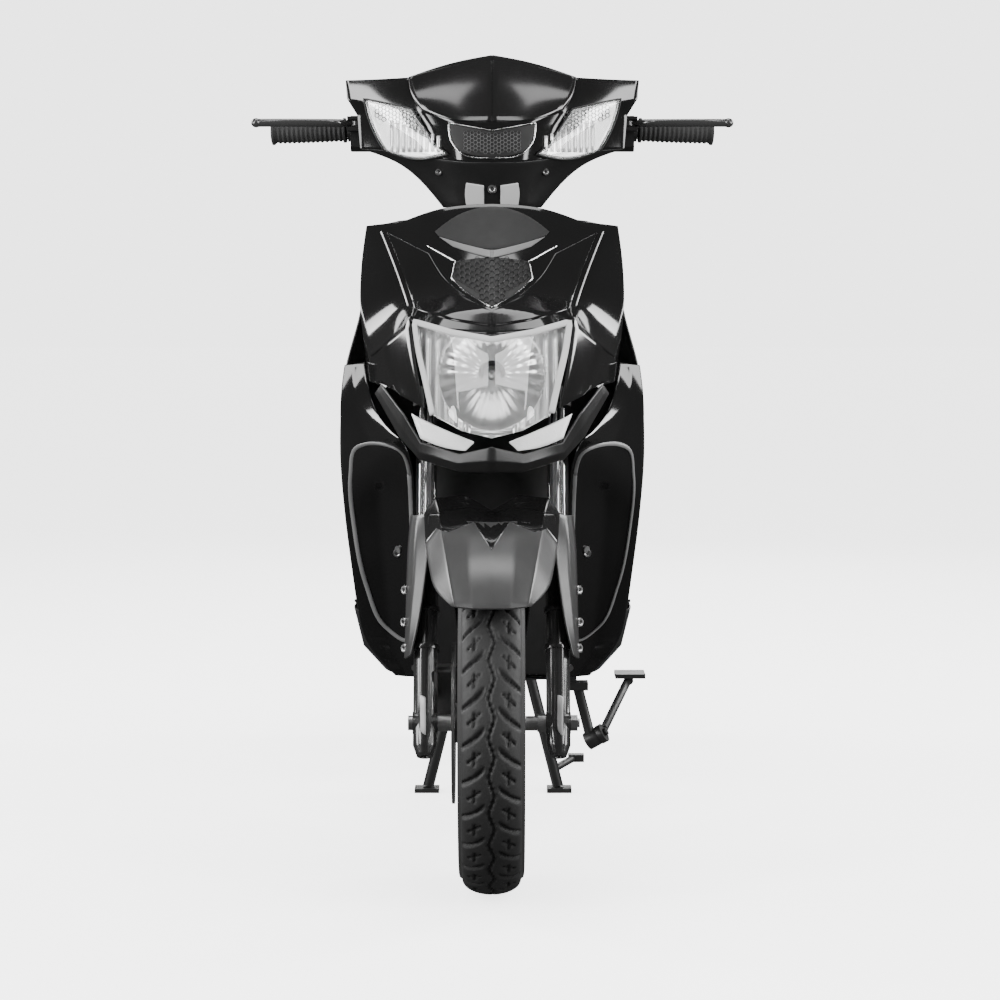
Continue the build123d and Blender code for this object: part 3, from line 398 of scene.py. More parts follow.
# Panel points, repeated from the part ---
fender_rows = [
    [(0, -195, 411), (25, -194, 411), (48, -188, 413), (52, -180, 412)],
    [(0, -152, 457), (28, -150, 456), (57, -141, 452), (77, -112, 432)],
    [(0, -98, 490), (30, -96, 489), (64, -86, 483), (84, -66, 452)],
    [(0, -40, 511), (32, -36, 512), (70, -28, 508), (90, -14, 480)],
    [(0, 36, 520), (34, 44, 531), (75, 40, 531), (93, 38, 506)],
    [(0, 42, 521), (36, 60, 541), (78, 60, 537), (94, 62, 516)],
]
fender_tail_rows = [
    [(0, 10, 515.5), (36, 14, 518), (58, 20, 500)],
    [(0, 90, 481), (40, 90, 479), (58, 84, 458)],
    [(0, 160, 436), (40, 159, 434), (57, 146, 420)],
    [(0, 212, 372), (38, 211, 371), (54, 194, 363)],
    [(0, 238, 300), (34, 237, 300), (46, 220, 298)],
]
ear_rows = [
    [(92, 60, 515), (103, 78, 512), (111, 100, 510), (114, 128, 508)],
    [(88, 46, 480), (106, 62, 478), (115, 86, 476), (117, 116, 474)],
    [(92, 30, 426), (108, 42, 424), (117, 62, 421), (119, 92, 418)],
    [(100, 24, 374), (113, 34, 370), (118, 50, 367), (120, 74, 364)],
    [(112, 20, 324), (116, 26, 320), (119, 34, 318), (121, 46, 316)],
]
cowl_rows = [
    [(0, 356, 1162), (60, 354, 1150), (122, 350, 1130), (170, 362, 1128), (215, 374, 1127)],
    [(0, 330, 1112), (60, 336, 1108), (118, 344, 1106), (168, 358, 1110), (214, 374, 1114)],
    [(0, 302, 1064), (56, 314, 1066), (104, 336, 1082), (158, 354, 1092), (213, 374, 1100)],
    [(0, 300, 1046), (54, 314, 1052), (90, 332, 1060), (150, 352, 1066), (198, 374, 1076)],
    [(0, 301, 1022), (48, 312, 1026), (80, 328, 1034), (140, 350, 1044), (196, 374, 1050)],
    [(0, 303, 1005), (44, 311, 1006), (74, 326, 1010), (138, 352, 1022), (194, 374, 1027)],
    [(0, 320, 975), (30, 323, 978), (60, 332, 984), (98, 352, 996), (132, 368, 1002)],
    [(0, 335, 941), (25, 338, 941), (48, 347, 941), (64, 360, 941), (72, 374, 941)],
]
cowl_back_rows = [
    [(0, 362, 1157), (60, 360, 1145), (122, 357, 1125), (168, 369, 1123), (211, 379, 1122)],
    [(0, 402, 1132), (60, 402, 1124), (115, 401, 1114), (160, 398, 1110), (206, 392, 1108)],
    [(0, 462, 1098), (60, 460, 1096), (110, 446, 1091), (150, 420, 1088), (198, 394, 1087)],
    [(0, 468, 1060), (60, 466, 1060), (108, 450, 1060), (134, 412, 1056), (160, 392, 1056)],
    [(0, 458, 1010), (60, 454, 1010), (100, 436, 1012), (126, 404, 1018), (150, 388, 1026)],
    [(0, 436, 962), (40, 432, 962), (70, 418, 968), (96, 396, 984), (120, 380, 998)],
]
nose_rows = [
    [(0, 262, 945), (74, 266, 938), (131, 280, 919), (165, 292, 916), (182, 300, 914)],
    [(0, 215, 885), (60, 222, 880), (115, 240, 870), (155, 262, 862), (189, 285, 855)],
    [(0, 160, 835), (45, 175, 830), (100, 200, 815), (150, 232, 808), (190, 268, 800)],
    [(0, 108, 795), (55, 118, 792), (112, 150, 790), (150, 200, 775), (186, 256, 759)],
    [(0, 78, 762), (60, 92, 768), (115, 106, 782), (152, 165, 745), (181, 246, 722)],
]
cheek_rows = [
    [(115, 106, 782), (152, 165, 745), (181, 246, 722)],
    [(106, 68, 715), (142, 140, 712), (180, 244, 704)],
    [(93, 36, 662), (126, 98, 676), (159, 180, 694)],
]
lamp_rows = [
    [(0, 70, 753), (56, 84, 763), (106, 102, 777)],
    [(0, 45, 715), (54, 58, 722), (101, 84, 742)],
    [(0, 15, 660), (48, 24, 666), (90, 54, 696)],
    [(0, 2, 622), (42, 9, 632), (80, 28, 652)],
]
position_rows = [
    [(24, 5, 616), (60, 17, 630), (110, 46, 652)],
    [(36, 5, 605), (62, 16, 608), (98, 38, 620)],
]
beak_rows = [
    [(0, -8, 611), (44, 8, 601), (98, 37, 614.5), (122, 60, 652), (156, 150, 690)],
    [(0, -10, 592), (46, 4, 588), (100, 44, 600), (126, 74, 634), (162, 164, 682)],
    [(0, 2, 575), (42, 12, 575), (100, 54, 590), (128, 92, 618), (166, 178, 676)],
]
shield_rows = [
    [(183, 248, 719), (198, 256, 716), (213, 266, 714)],
    [(179, 238, 690), (199, 252, 676), (219, 270, 663)],
    [(130, 112, 616), (176, 222, 606), (219, 280, 605)],
    [(116, 165, 586), (170, 225, 575), (219, 290, 546)],
    [(112, 240, 520), (165, 290, 515), (213, 300, 490)],
    [(110, 262, 435), (160, 310, 432), (206, 312, 428)],
    [(108, 304, 367), (155, 335, 366), (199, 332, 366)],
    [(107, 345, 300), (150, 360, 300), (186, 352, 305)],
    [(106, 366, 248), (125, 369, 249), (143, 362, 252)],
]
inner_rows = [
    [(0, 445, 930), (70, 440, 928), (140, 400, 922), (181, 308, 912)],
    [(0, 395, 800), (80, 392, 800), (150, 350, 798), (190, 288, 796)],
    [(0, 372, 700), (90, 370, 700), (172, 330, 697), (213, 275, 704)],
    [(0, 366, 600), (100, 366, 600), (182, 335, 600), (221, 290, 602)],
    [(0, 370, 500), (100, 372, 500), (180, 345, 500), (215, 309, 493)],
    [(0, 388, 420), (100, 391, 420), (170, 368, 425), (207, 322, 422)],
    [(0, 430, 345), (100, 430, 345), (165, 404, 348), (199, 350, 352)],
]
guard_rows = [
    [(0, 275, 612), (60, 275, 612), (110, 269, 604)],
    [(0, 298, 500), (60, 294, 500), (110, 262, 500)],
    [(0, 324, 400), (60, 320, 400), (107, 290, 400)],
    [(0, 352, 300), (60, 350, 300), (105, 343, 300)],
    [(0, 370, 252), (60, 370, 252), (104, 366, 252)],
]
floor_rows = [
    [(0, 434, 336), (120, 434, 336), (184, 424, 340), (204, 400, 362)],
    [(0, 520, 335), (120, 520, 335), (185, 520, 337), (208, 520, 348)],
    [(0, 660, 335), (120, 660, 335), (182, 660, 337), (204, 660, 346)],
    [(0, 786, 336), (115, 786, 336), (160, 790, 340), (178, 796, 347)],
]
belly_rows = [
    [(0, 386, 244), (100, 386, 244), (148, 390, 252), (178, 390, 296), (200, 388, 346)],
    [(0, 434, 240), (100, 434, 240), (160, 434, 252), (192, 434, 288), (207, 434, 345)],
    [(0, 520, 240), (100, 520, 240), (165, 520, 250), (193, 520, 286), (209.5, 520, 343)],
    [(0, 660, 240), (100, 660, 240), (160, 660, 250), (190, 660, 286), (206, 660, 341)],
    [(0, 786, 240), (95, 786, 240), (146, 788, 250), (168, 790, 288), (181, 796, 342)],
]
lamp_back_rows = [
    [(0, 1576, 822), (24, 1575, 822), (40.5, 1571, 822)],
    [(0, 1580, 790), (26, 1579, 790), (44, 1576, 790)],
    [(0, 1580, 756), (26, 1579, 756), (44, 1577, 756)],
    [(0, 1576, 724), (24, 1575, 724), (40.5, 1572, 724)],
]
mudguard_rows = [
    [(0, 1190, 566), (40, 1190, 564), (60, 1190, 540)],
    [(0, 1300, 576), (40, 1300, 574), (60, 1300, 548)],
    [(0, 1420, 562), (40, 1420, 560), (60, 1412, 538)],
    [(0, 1510, 516), (40, 1510, 515), (60, 1498, 498)],
    [(0, 1562, 452), (38, 1562, 452), (56, 1548, 444)],
    [(0, 1580, 400), (34, 1580, 400), (50, 1568, 398)],
]
seat_sections = [
    (824, 62, 738, 752),
    (850, 104, 738, 766),
    (960, 134, 740, 771),
    (1080, 142, 744, 776),
    (1130, 144, 748, 798),
    (1190, 144, 753, 816),
    (1350, 138, 778, 823),
    (1430, 116, 792, 824),
    (1468, 70, 799, 818),
]
cover_outline = [(0, 236.5), (63, 247.5), (122, 275), (158, 292), (174, 304), (170.5, 321), (135, 385),
                 (69, 424), (0, 428)]
side_rows = [
    [(0.4, 780, 716), (95, 784, 716), (138, 830, 718), (150, 930, 726), (156, 1080, 742), (152, 1250, 764)],
    [(0.4, 772, 600), (100, 778, 600), (150, 830, 600), (172, 935, 620), (184, 1085, 660), (178, 1255, 695)],
    [(0.4, 778, 470), (106, 782, 470), (162, 835, 470), (180, 940, 500), (190, 1090, 570), (184, 1260, 620)],
    [(0.4, 792, 350), (116, 796, 350), (178, 850, 350), (174, 945, 385), (182, 1095, 465), (172, 1265, 545)],
]
side_tail = [
    [(134, 1400, 790), (92, 1530, 815), (42, 1572, 825)],
    [(152, 1405, 735), (104, 1535, 775), (46, 1577, 792)],
    [(156, 1410, 680), (104, 1540, 730), (46, 1579, 758)],
    [(142, 1415, 615), (92, 1540, 680), (42, 1575, 720)],
]
side_rows = [head + tail for head, tail in zip(side_rows, side_tail)]


# CAD pieces that stay, each with its finish ---
kept_nodes = {
    "frame_paint": ["main_frame", "side_stand_bracket", "steering_stem", "handlebar", "swingarm",
                    "centre_stand", "side_stand"],
    "steel": ["steering_bearings", "body_screws", "front_axle", "rear_axle", "front_wheel_bearings"],
    "satin_trim": ["storage_bucket", "seat_pan", "left_switch_housing", "right_switch_housing"],
    "battery_case": ["battery_pack"],
    "cast_bracket": ["rear_hub_motor"],
    "chrome_tube": ["grab_rail", "fork_stanchions", "shock_rods"],
    "fork_paint": ["fork_lower_legs", "shock_bodies"],
    "caliper_paint": ["brake_caliper"],
    "disc_steel": ["brake_disc"],
    "rim_paint": ["front_rim"],
    "button_plastic": ["turn_switch", "horn_button", "ignition_key"],
    "red_button": ["power_switch"],
}
soft_edged = {"left_switch_housing": 1.2, "right_switch_housing": 1.2, "brake_caliper": 1.0,
              "battery_pack": 1.5, "fork_lower_legs": 0.8, "swingarm": 1.0, "centre_stand": 1.0,
              "side_stand": 1.0, "seat_pan": 1.0, "storage_bucket": 1.0, "side_stand_bracket": 0.8,
              "front_rim": 0.6, "rear_hub_motor": 0.8, "ignition_key": 0.5, "horn_button": 0.5, "turn_switch": 0.5,
              "power_switch": 0.5}
for slot_name, node_names in kept_nodes.items():
    for node_name in node_names:
        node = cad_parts[node_name]
        node.data.materials.clear()
        node.data.materials.append(materials[slot_name])
        if node_name in soft_edged:
            weld = node.modifiers.new("weld", "WELD")
            weld.merge_threshold = 0.02 * MM
            round_edges(node, soft_edged[node_name], 40).harden_normals = True


sides = (("left", 1), ("right", -1))


def sided(rows, side):
    """Rows of the rider's left, on the given side."""
    return rows if side > 0 else flipped(rows)


# Handlebar cowl ---
cowl = whole(cowl_rows)
cowl_folds = dict(across=(2, 4, 6), down=(2, 3, 5), steps=(8, 6))
panel("cowl_front", cowl[:6], "steering", "gloss_body", ["handlebar_front_cowl"], **cowl_folds)
panel("cowl_lower", cowl[5:], "steering", "satin_trim", across=(2, 6), steps=(8, 6))
cowl_back = whole(cowl_back_rows)
back_folds = dict(across=(2, 6), down=(1, 2), steps=(8, 6), hint=(0, 1, 0.2))
panel("cowl_back", cowl_back, "steering", "satin_trim", ["handlebar_rear_cowl"], **back_folds)
span(cowl_back, 1, 2, 3, 5, "dash_glass", "steering", "display_glass", ["dash_display"], **back_folds)
cowl_skin = skin_of(cowl, across=(2, 4, 6), down=(2, 3, 5))
span(cowl, 0, 2, 2, 4, "visor_right", "steering", "visor_gloss", ["windscreen_visor"], lift=2.2, wall=2.4,
     soft=1.0, **cowl_folds)
span(cowl, 0, 2, 4, 6, "visor_left", "steering", "visor_gloss", lift=2.2, wall=2.4, soft=1.0, **cowl_folds)
patch("grille_field", [[(-63, 1061), (-30, 1056), (0, 1049), (30, 1056), (63, 1061)],
                       [(-59, 1040), (-30, 1036), (0, 1032), (30, 1036), (59, 1040)],
                       [(-50, 1022), (-26, 1015), (0, 1012), (26, 1015), (50, 1022)]],
      cowl_skin, "steering", "satin_trim", ["cowl_grille"], material="dark_trim", across=(2,), lift=1.0)


def in_cowl_grille(x, z):
    return abs(x) < 40 and 1018 + abs(x) * 0.1 < z < 1046 + abs(x) * 0.1


hex_net("grille_net", in_cowl_grille, cowl_skin, 3.2, 0.9, "steering", material="grey_trim_and_highlight",
        lift=2.0, extent=(-60, 60, 1005, 1065))
grille_line = smooth_line([(-63, 1062), (0, 1050), (63, 1062), (59, 1036), (44, 1018), (0, 1011), (-44, 1018),
                           (-59, 1036), (-63, 1062)], 8, corners=(1, 2))
tube("grille_outline", [onto(cowl_skin, x, z, 1.6) for x, z in grille_line], 1.3, "steering", "chrome_tube",
     flat=0.7)
indicator_rows = [[(184, 1096), (150, 1089), (117, 1081)], [(178, 1070), (140, 1062), (98, 1052)],
                  [(166, 1042), (126, 1034), (82, 1030)], [(156, 1025), (110, 1013), (68, 1019)]]


def grown(rows, reach):
    """The same outline, moved out from its middle by a factor."""
    flat = [p for row in rows for p in row]
    mx, mz = (sum(p[k] for p in flat) / len(flat) for k in (0, 1))
    return [[(mx + (x - mx) * reach, mz + (z - mz) * reach) for x, z in row] for row in rows]


for name, side in sides:
    mirror_node = ["indicator_lenses"] if side > 0 else []
    patch(f"indicator_{name}_surround", sided(grown(indicator_rows, 1.1), side), cowl_skin, "steering",
          "satin_trim", material="dark_trim", lift=1.0, wall=1.4, steps=(8, 6))
    patch(f"indicator_{name}_bowl", sided(indicator_rows, side), cowl_skin, "steering", "reflector",
          lift=2.0, wall=0.8, steps=(8, 6), soft=0)
    patch(f"indicator_{name}_lens", sided(grown(indicator_rows, 1.03), side), cowl_skin, "steering",
          "clear_lens", mirror_node, lift=6.4, wall=1.6, steps=(8, 6))

    def in_indicator(x, z):
        u = x * side
        return 104 < u < 170 and 1052 + (u - 104) * 0.3 < z < 1078 + (u - 104) * 0.2

    hex_net(f"indicator_{name}_dots", in_indicator, cowl_skin, 3.4, 1.2, "steering",
            material="grey_trim_and_highlight", lift=3.2, extent=(-190, 190, 1045, 1100))
    for k in range(9):
        x = 78 + 8.5 * k
        top = 1030 + (x - 78) * 0.34
        flute = [onto(cowl_skin, side * x, z, 3.4) for z in np.linspace(1021, top + 14, 5)]
        tube(f"indicator_{name}_flute_{k}", flute, 2.7, "steering", "reflector", sides=8)
    edge_line = grown(indicator_rows, 1.06)
    loop = edge_line[0] + [row[-1] for row in edge_line[1:]] + list(reversed(edge_line[-1][:-1]))
    loop += [row[0] for row in reversed(edge_line[:-1])]
    loop = smooth_line([(side * x, z) for x, z in loop], 6, corners=(2, 5, 7))
    tube(f"indicator_{name}_frame", [onto(cowl_skin, x, z, 4.2) for x, z in loop], 1.7, "steering",
         "satin_trim", flat=0.8)
    bolt(f"cowl_screw_{name}", onto(cowl_skin, side * 78, 992, 0.2), (0, -1, 0), 5.0, "steering")
for name, side in sides:
    tab = [[(side * 12, 972), (side * 38, 976)], [(side * 12, 958), (side * 40, 960)],
           [(side * 12, 944), (side * 38, 943)]]
    patch(f"cowl_tab_{name}", tab, cowl_skin, "steering", "satin_trim", material="pale_trim_and_highlight", lift=2.4,
          wall=2, soft=1.2)
bolt("cowl_screw_middle", onto(cowl_skin, 0, 967, 0.2), (0, -1, 0), 6.5, "steering")

# Grips and levers ---
bar_inner, bar_outer = np.array((190.0, 440.0, 1058.0)), np.array((322.0, 451.0, 1054.0))
bar_run = bar_outer - bar_inner
lever_height = 1066


def on_bar(side, x):
    """The point of the handlebar's axis that lies x out from the middle."""
    p = bar_inner + bar_run * (x - bar_inner[0]) / bar_run[0]
    return at(side * p[0], p[1], p[2])


def grip_radius(t):
    if t < 0.04 or t > 0.96:
        return 18.4 if 0.005 < t < 0.995 else 16.2
    return 15.6 + 0.9 * math.sin(t * 2 * math.pi * 16) + 0.7 * math.sin(math.pi * t)


def lever_radius(t):
    return 4.7 + 1.6 * min(1.0, max(0.0, (t - 0.14) / 0.12))


for name, side, body, node_name in (("left", 1, "steering", "left_grip"),
                                    ("right", -1, "throttle", "throttle_grip")):
    low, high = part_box(node_name)
    inner_end = min(abs(low.x), abs(high.x)) / MM + 0.2
    outer_end = max(abs(low.x), abs(high.x)) / MM - 0.6
    count = 160
    places = [on_bar(side, inner_end + (outer_end - inner_end) * k / count) for k in range(count + 1)]
    tube(f"grip_{name}", places, grip_radius, body, "grip_rubber", [node_name], sides=28)
    lever = smooth_line([(200, 415, lever_height), (214, 409, lever_height), (232, 401, lever_height),
                         (262, 395, lever_height), (290, 391.5, lever_height),
                         (322, 391.5, lever_height), (345, 394, lever_height)], 6)
    tube(f"lever_{name}", [at(side * x, y, z) for x, y, z in lever], lever_radius, f"lever_{name}",
         "lever_gloss", [f"brake_lever_{name}"], sides=16, flat=0.9)
    ball = [at(side * (340 + 7.4 * (1 - math.cos(math.pi * k / 12))), 394, lever_height) for k in range(13)]
    tube(f"lever_ball_{name}", ball, lambda t: max(0.3, 7.0 * math.sin(math.pi * t)), f"lever_{name}",
         "lever_gloss", sides=20)
    eye = [at(side * 200, 415, 1061.2 + 9.6 * k / 4) for k in range(5)]
    tube(f"lever_eye_{name}", eye, 9.6, f"lever_{name}", "lever_gloss", sides=24)

# Nose ---
nose = whole(nose_rows)
panel("nose_shell", nose, "frame", "gloss_body", ["nose_panel"], steps=(6, 8), across=(2, 4, 6), down=(3,))
for name, side in sides:
    panel(f"nose_cheek_{name}", sided(cheek_rows, side), "frame", "gloss_body", steps=(6, 6), across=(1,))
nose_skin = skin_of(nose, cheek_rows, flipped(cheek_rows), across=(2, 4, 6), down=(3,))
patch("nose_shield", [[(-82, 905), (-44, 931), (0, 941), (44, 931), (82, 905)],
                      [(-80, 903), (-42, 908), (0, 911), (42, 908), (80, 903)],
                      [(-78, 900), (-42, 888), (0, 880), (42, 888), (78, 900)]],
      nose_skin, "frame", "satin_trim", material="dark_trim", lift=1.6)
for name, side in sides:
    patch(f"nose_facet_{name}", [[(side * x, z) for x, z in row] for row in
                                 ([(2, 878), (40, 887), (76, 898)], [(2, 868), (26, 874), (56, 884)])],
          nose_skin, "frame", "satin_trim", material="grey_trim_and_highlight", lift=2.2)
    tube(f"nose_line_{name}", [onto(nose_skin, side * x, z, 1.2) for x, z in
                               smooth_line([(92, 884), (70, 872), (52, 862), (57, 838), (30, 815),
                                            (0, 798)], 5, corners=(2, 3))], 1.1, "frame", "chrome_tube")
    outer = [(152, 905), (130, 852), (110, 797), (58, 782), (1, 773)]
    inner = [(90, 874), (66, 838), (42, 818), (22, 806), (1, 794)]
    patch(f"nose_v_{name}", [[(side * a[0], a[1]), (side * (a[0] + b[0]) / 2, (a[1] + b[1]) / 2),
                              (side * b[0], b[1])] for a, b in zip(outer, inner)],
          nose_skin, "frame", "satin_trim", material="gloss_body", lift=1.8, wall=2.2, down=(2,),
          steps=(4, 8), soft=1.2)
    # A pale flat strip beside each V panel's outer edge: a painted highlight for the edge's lit line.
    tube(f"nose_edge_highlight_{name}", [onto(nose_skin, side * x, z, 1.4) for x, z in
                                smooth_line([(160, 905), (138, 852), (119, 800)], 8)], 1.3, "frame",
         "satin_trim", material="pale_trim_and_highlight", flat=0.6)


def in_nose_grille(x, z):
    return abs(x) < 52 and 804 + abs(x) * 0.62 < z < 866 - abs(x) * 0.05


patch("nose_grille_field", [[(-54, 862), (0, 868), (54, 862)], [(-56, 842), (0, 840), (56, 842)],
                            [(-28, 815), (0, 812), (28, 815)], [(-3, 800), (0, 799), (3, 800)]],
      nose_skin, "frame", "satin_trim", ["nose_grille"], material="dark_trim", lift=0.9, steps=(6, 4))
hex_net("nose_grille_net", in_nose_grille, nose_skin, 4.6, 1.5, "frame", material="satin_trim",
        lift=2.4, extent=(-60, 60, 795, 875))

# Headlamp ---
lamp = whole(lamp_rows)
bowl_radius, bowl_x, bowl_z = 74.0, 0.0, 706.0


def reflector_point(p):
    """The bowl and the flutes behind a point of the lens."""
    x, y, z = p
    r = math.hypot(x - bowl_x, z - bowl_z)
    turn = math.atan2(z - bowl_z, x - bowl_x)
    back = 9.0
    if r < bowl_radius:
        back += 52 * (1 - (r / bowl_radius) ** 2) ** 0.8 + 0.9 * math.cos(28 * turn) * (r / bowl_radius)
    elif abs(x) > 30:
        back += 3.2 * abs(math.sin(x * 0.24))
    else:
        back += 1.2 * math.cos(z * 0.6)
    return x * 0.985, y + back, z


dense_lamp = refine(lamp, (26, 34), (1, 2, 3))
bowl_points = [at(*reflector_point(p)) for row in dense_lamp for p in row]
bowl_faces = facing(bowl_points, grid_faces(len(dense_lamp), len(dense_lamp[0])), (0, -1, 0))
bowl = shell(mesh_piece("lamp_reflector", bowl_points, bowl_faces, "reflector"), 1.2, 0)
settle(bowl, "frame", ["headlamp_housing"])
panel("lamp_lens", lamp, "frame", "clear_lens", ["front_lamp_lenses"], steps=(10, 10), across=(1, 2, 3),
      wall=2.2, soft=0.6)
bulb = [at(0, 112 - k * 3.4, bowl_z) for k in range(11)]
tube("lamp_bulb", bulb, lambda t: (9.5, 9.5, 9.5, 9, 9, 9, 8, 8, 8, 7, 3.5)[round(t * 10)], "frame",
     "reflector", material="bulb_cap", sides=24)
ring = [at(15 * math.cos(t), 101, bowl_z + 15 * math.sin(t)) for t in np.linspace(0, 2 * math.pi, 41)[:-1]]
tube("lamp_ring", ring, 3.6, "frame", "reflector", material="dark_trim", closed=True)
lamp_edge = [row[0] for row in reversed(dense_lamp)] + dense_lamp[0][1:] + [row[-1] for row in dense_lamp[1:]]
tube("lamp_bezel", [at(p[0] * 1.015, p[1] - 0.5, p[2] + 1.5) for p in lamp_edge[::3]], 4.6, "frame",
     "satin_trim", material="pale_trim_and_highlight", flat=0.5)
for name, side in sides:
    panel(f"position_lens_{name}", sided(position_rows, side), "frame", "clear_lens", material="pebbled_lens",
          wall=1.8, steps=(8, 6), soft=0.5)
    deep = [[(x, y + 6, z + 1) for x, y, z in row] for row in position_rows]
    panel(f"position_bowl_{name}", sided(deep, side), "frame", "reflector", wall=0.8, steps=(8, 6), soft=0)
panel("beak", whole(beak_rows), "frame", "satin_trim", ["beak_trim"], steps=(6, 6),
      across=(1, 2, 3, 4, 5, 6, 7), down=(1,), soft=1.2)

# Leg shields ---
for name, side in sides:
    rows = sided(shield_rows, side)
    panel(f"leg_shield_{name}_skin", rows, "frame", "gloss_body", [f"leg_shield_{name}"], steps=(8, 6),
          across=(1,), down=(2,), soft=1.2)
    shield_skin = skin_of(rows, across=(1,), down=(2,))
    rim = [(118, 560), (128, 594), (168, 604), (196, 594), (204, 556), (200, 470), (184, 388), (158, 326),
           (124, 306), (113, 330), (115, 430), (118, 560)]
    rim = smooth_line(rim, 7)
    # A raised line round the shield's recess; its grey is a painted highlight, the lit edge of the moulding.
    tube(f"shield_rim_highlight_{name}", [onto(shield_skin, side * x, z, 0.8) for x, z in rim], 3.4, "frame",
         "satin_trim", material="grey_trim_and_highlight", flat=0.55)
    bolt(f"shield_screw_{name}", onto(shield_skin, side * 138, 440, 0.4), (0, -1, 0), 6.0, "frame")

# Front fender ---
fender = whole(fender_rows)
fender_folds = dict(across=(1, 2, 3, 4, 5), down=(3,), steps=(7, 6), hint=(0, -1, 1))
panel("fender_shell", fender[:4], "fork_lower", "fender_gloss", ["front_fender"], soft=1.2, **fender_folds)
panel("fender_back", fender[3:], "fork_lower", "fender_gloss", material="gloss_body", **fender_folds)
panel("fender_tail", whole(fender_tail_rows), "fork_lower", "fender_gloss", material="gloss_body",
      hint=(0, 1, 1), steps=(6, 6), across=(1, 3))
fender_skin = skin_of(fender, across=(1, 2, 3, 4, 5), down=(3,))
patch("fender_top", [[(-88, 516), (-64, 524), (-30, 526), (0, 520), (30, 526), (64, 524), (88, 516)],
                     [(-88, 503), (-58, 500), (-24, 512), (0, 481), (24, 512), (58, 500), (88, 503)]],
      fender_skin, "fork_lower", "fender_gloss", material="gloss_body", lift=2.0, across=(1, 2, 3, 4, 5),
      steps=(6, 5))
ear_bolts = [(58, 409, 119), (50, 365, 120), (42, 330, 119)]
for name, side in sides:
    # A pale strip down the front of each fork leg: a painted highlight for the lit stripe on the round leg.
    strip = [at(side * 93, y, z) for y, z in ((-27, 279), (-20, 262), (-12, 240), (-5, 221))]
    tube(f"fork_highlight_strip_{name}", [p + Vector((0, -0.0145, -0.004)) for p in strip], 5.0, "fork_lower",
         "fork_paint", material="pale_trim_and_highlight", flat=0.35)
for name, side in sides:
    panel(f"fender_ear_{name}", sided(ear_rows, side), "fork_lower", "fender_gloss", hint=(side, -0.6, 0),
          steps=(5, 6), across=(1, 2), soft=1.0)
    for k, (y, z) in enumerate(((82, 405), (52, 340))):
        tube(f"fender_stay_{name}_{k}", [at(side * x, y, z) for x in (107.9, 110, 113, 117)], 6, "fork_lower",
             "fender_gloss", sides=16)
    for k, (y, z, x) in enumerate(ear_bolts):
        bolt(f"ear_bolt_{name}_{k}", at(side * x, y + 6, z), (side * 0.75, -0.65, 0), 6.5, "fork_lower")

# Tyres ---
pitches, pitch_steps = 28, 20
tread_half, pitch_length, tread_depth = 40.0, 52, 5.6
block_row, middle_band = 22, 9


def groove(x, along):
    """Depth of the tread pattern at a place across the tyre, `along` counting pitches."""
    def cut(distance, width):
        return max(0.0, min(1.0, (width - abs(distance)) / 0.9))

    depth = cut(x - 3.2 * math.sin(2 * math.pi * along), 2.6)
    s = abs(x)
    shift = along + (0.5 if x > 0 else 0.0)
    if middle_band < s < tread_half:
        lean = 0.55 * ((s - middle_band) / 31) ** 0.8
        off = ((shift - lean) % 1.0 - 0.5) * pitch_length
        depth = max(depth, cut(off, 3.4) * min(1, (s - middle_band) / 3) * min(1, (tread_half - s) / 4))
        bar = ((shift - lean + 0.5) % 1.0 - 0.5) * pitch_length
        if abs(s - block_row) < 9:
            depth = max(depth, 0.9 * cut(bar, 1.9))
        if abs(bar) < 9:
            depth = max(depth, 0.9 * cut(s - block_row, 2.0))
    return depth * tread_depth


def tyre(name, y_row, z_row, body, node_name):
    """A carcass with round shoulders, a lettering-free sidewall with rings, and the cut tread."""
    crown = wheel_radius / MM
    profile = [(24, 154), (28, 158), (33.5, 164), (38, 171), (41, 178), (43, 186), (44.2, 194), (44.6, 200),
               (44.2, 205), (43.2, 209)]
    outside = [(tread_half * math.cos(t), 210 + 23 * math.sin(t) ** 0.9)
               for t in np.linspace(0.05, math.pi / 2, 24)]
    right = profile + outside
    section = [(x, r) for x, r in right] + [(-x, r) for x, r in reversed(right[:-1])]
    section += [(-22, 150), (22, 150)]
    around = pitches * pitch_steps
    verts = []
    for k in range(around):
        turn = 2 * math.pi * k / around
        for x, r in section:
            deep = groove(x, k / pitch_steps) if r > 209.5 else 0.0
            ring = 0.5 * max(0.0, math.cos((r - 184) * 0.9)) if 178 < r < 205 else 0.0
            reach = min(r, crown) - deep + ring * 0.6
            verts.append(Vector((x * MM, y_row + reach * MM * math.cos(turn),
                                 z_row + reach * MM * math.sin(turn))))
    faces = grid_faces(around, len(section), True, True)
    piece = mesh_piece(name, verts, faces, "tyre_rubber")
    return settle(piece, body, [node_name])


tyre("front_tyre_tread", axle_y, wheel_radius, "front_wheel", "front_tyre")
tyre("rear_tyre_tread", rear_wheel_y, rear_wheel_z, "rear_wheel", "rear_tyre")

# Body behind the nose ---
panel("inner_shield_skin", whole(inner_rows), "frame", "satin_trim", ["inner_leg_shield"], hint=(0, 1, 0),
      across=(1, 5), steps=(6, 6))
rim_points = cover_outline + [(-x, y) for x, y in reversed(cover_outline[1:-1])]
steer_x, steer_y, hole, lid_height = 0.0, 334.0, 44.0, 907
lid = []
for x, y in rim_points:
    turn = math.atan2(y - steer_y, x - steer_x)
    lid.append((steer_x + hole * math.cos(turn), steer_y + hole * math.sin(turn)))
lid_verts = [at(x, y, lid_height) for x, y in lid + rim_points]
lid_faces = facing(lid_verts, grid_faces(2, len(lid), False, True), (0, 0, 1))
settle(shell(mesh_piece("inner_shield_lid", lid_verts, lid_faces, "satin_trim"), 3, 0.8), "frame")
panel("splash_shield", whole(guard_rows), "frame", "satin_trim", ["splash_guard"], material="dark_trim",
      steps=(5, 5))
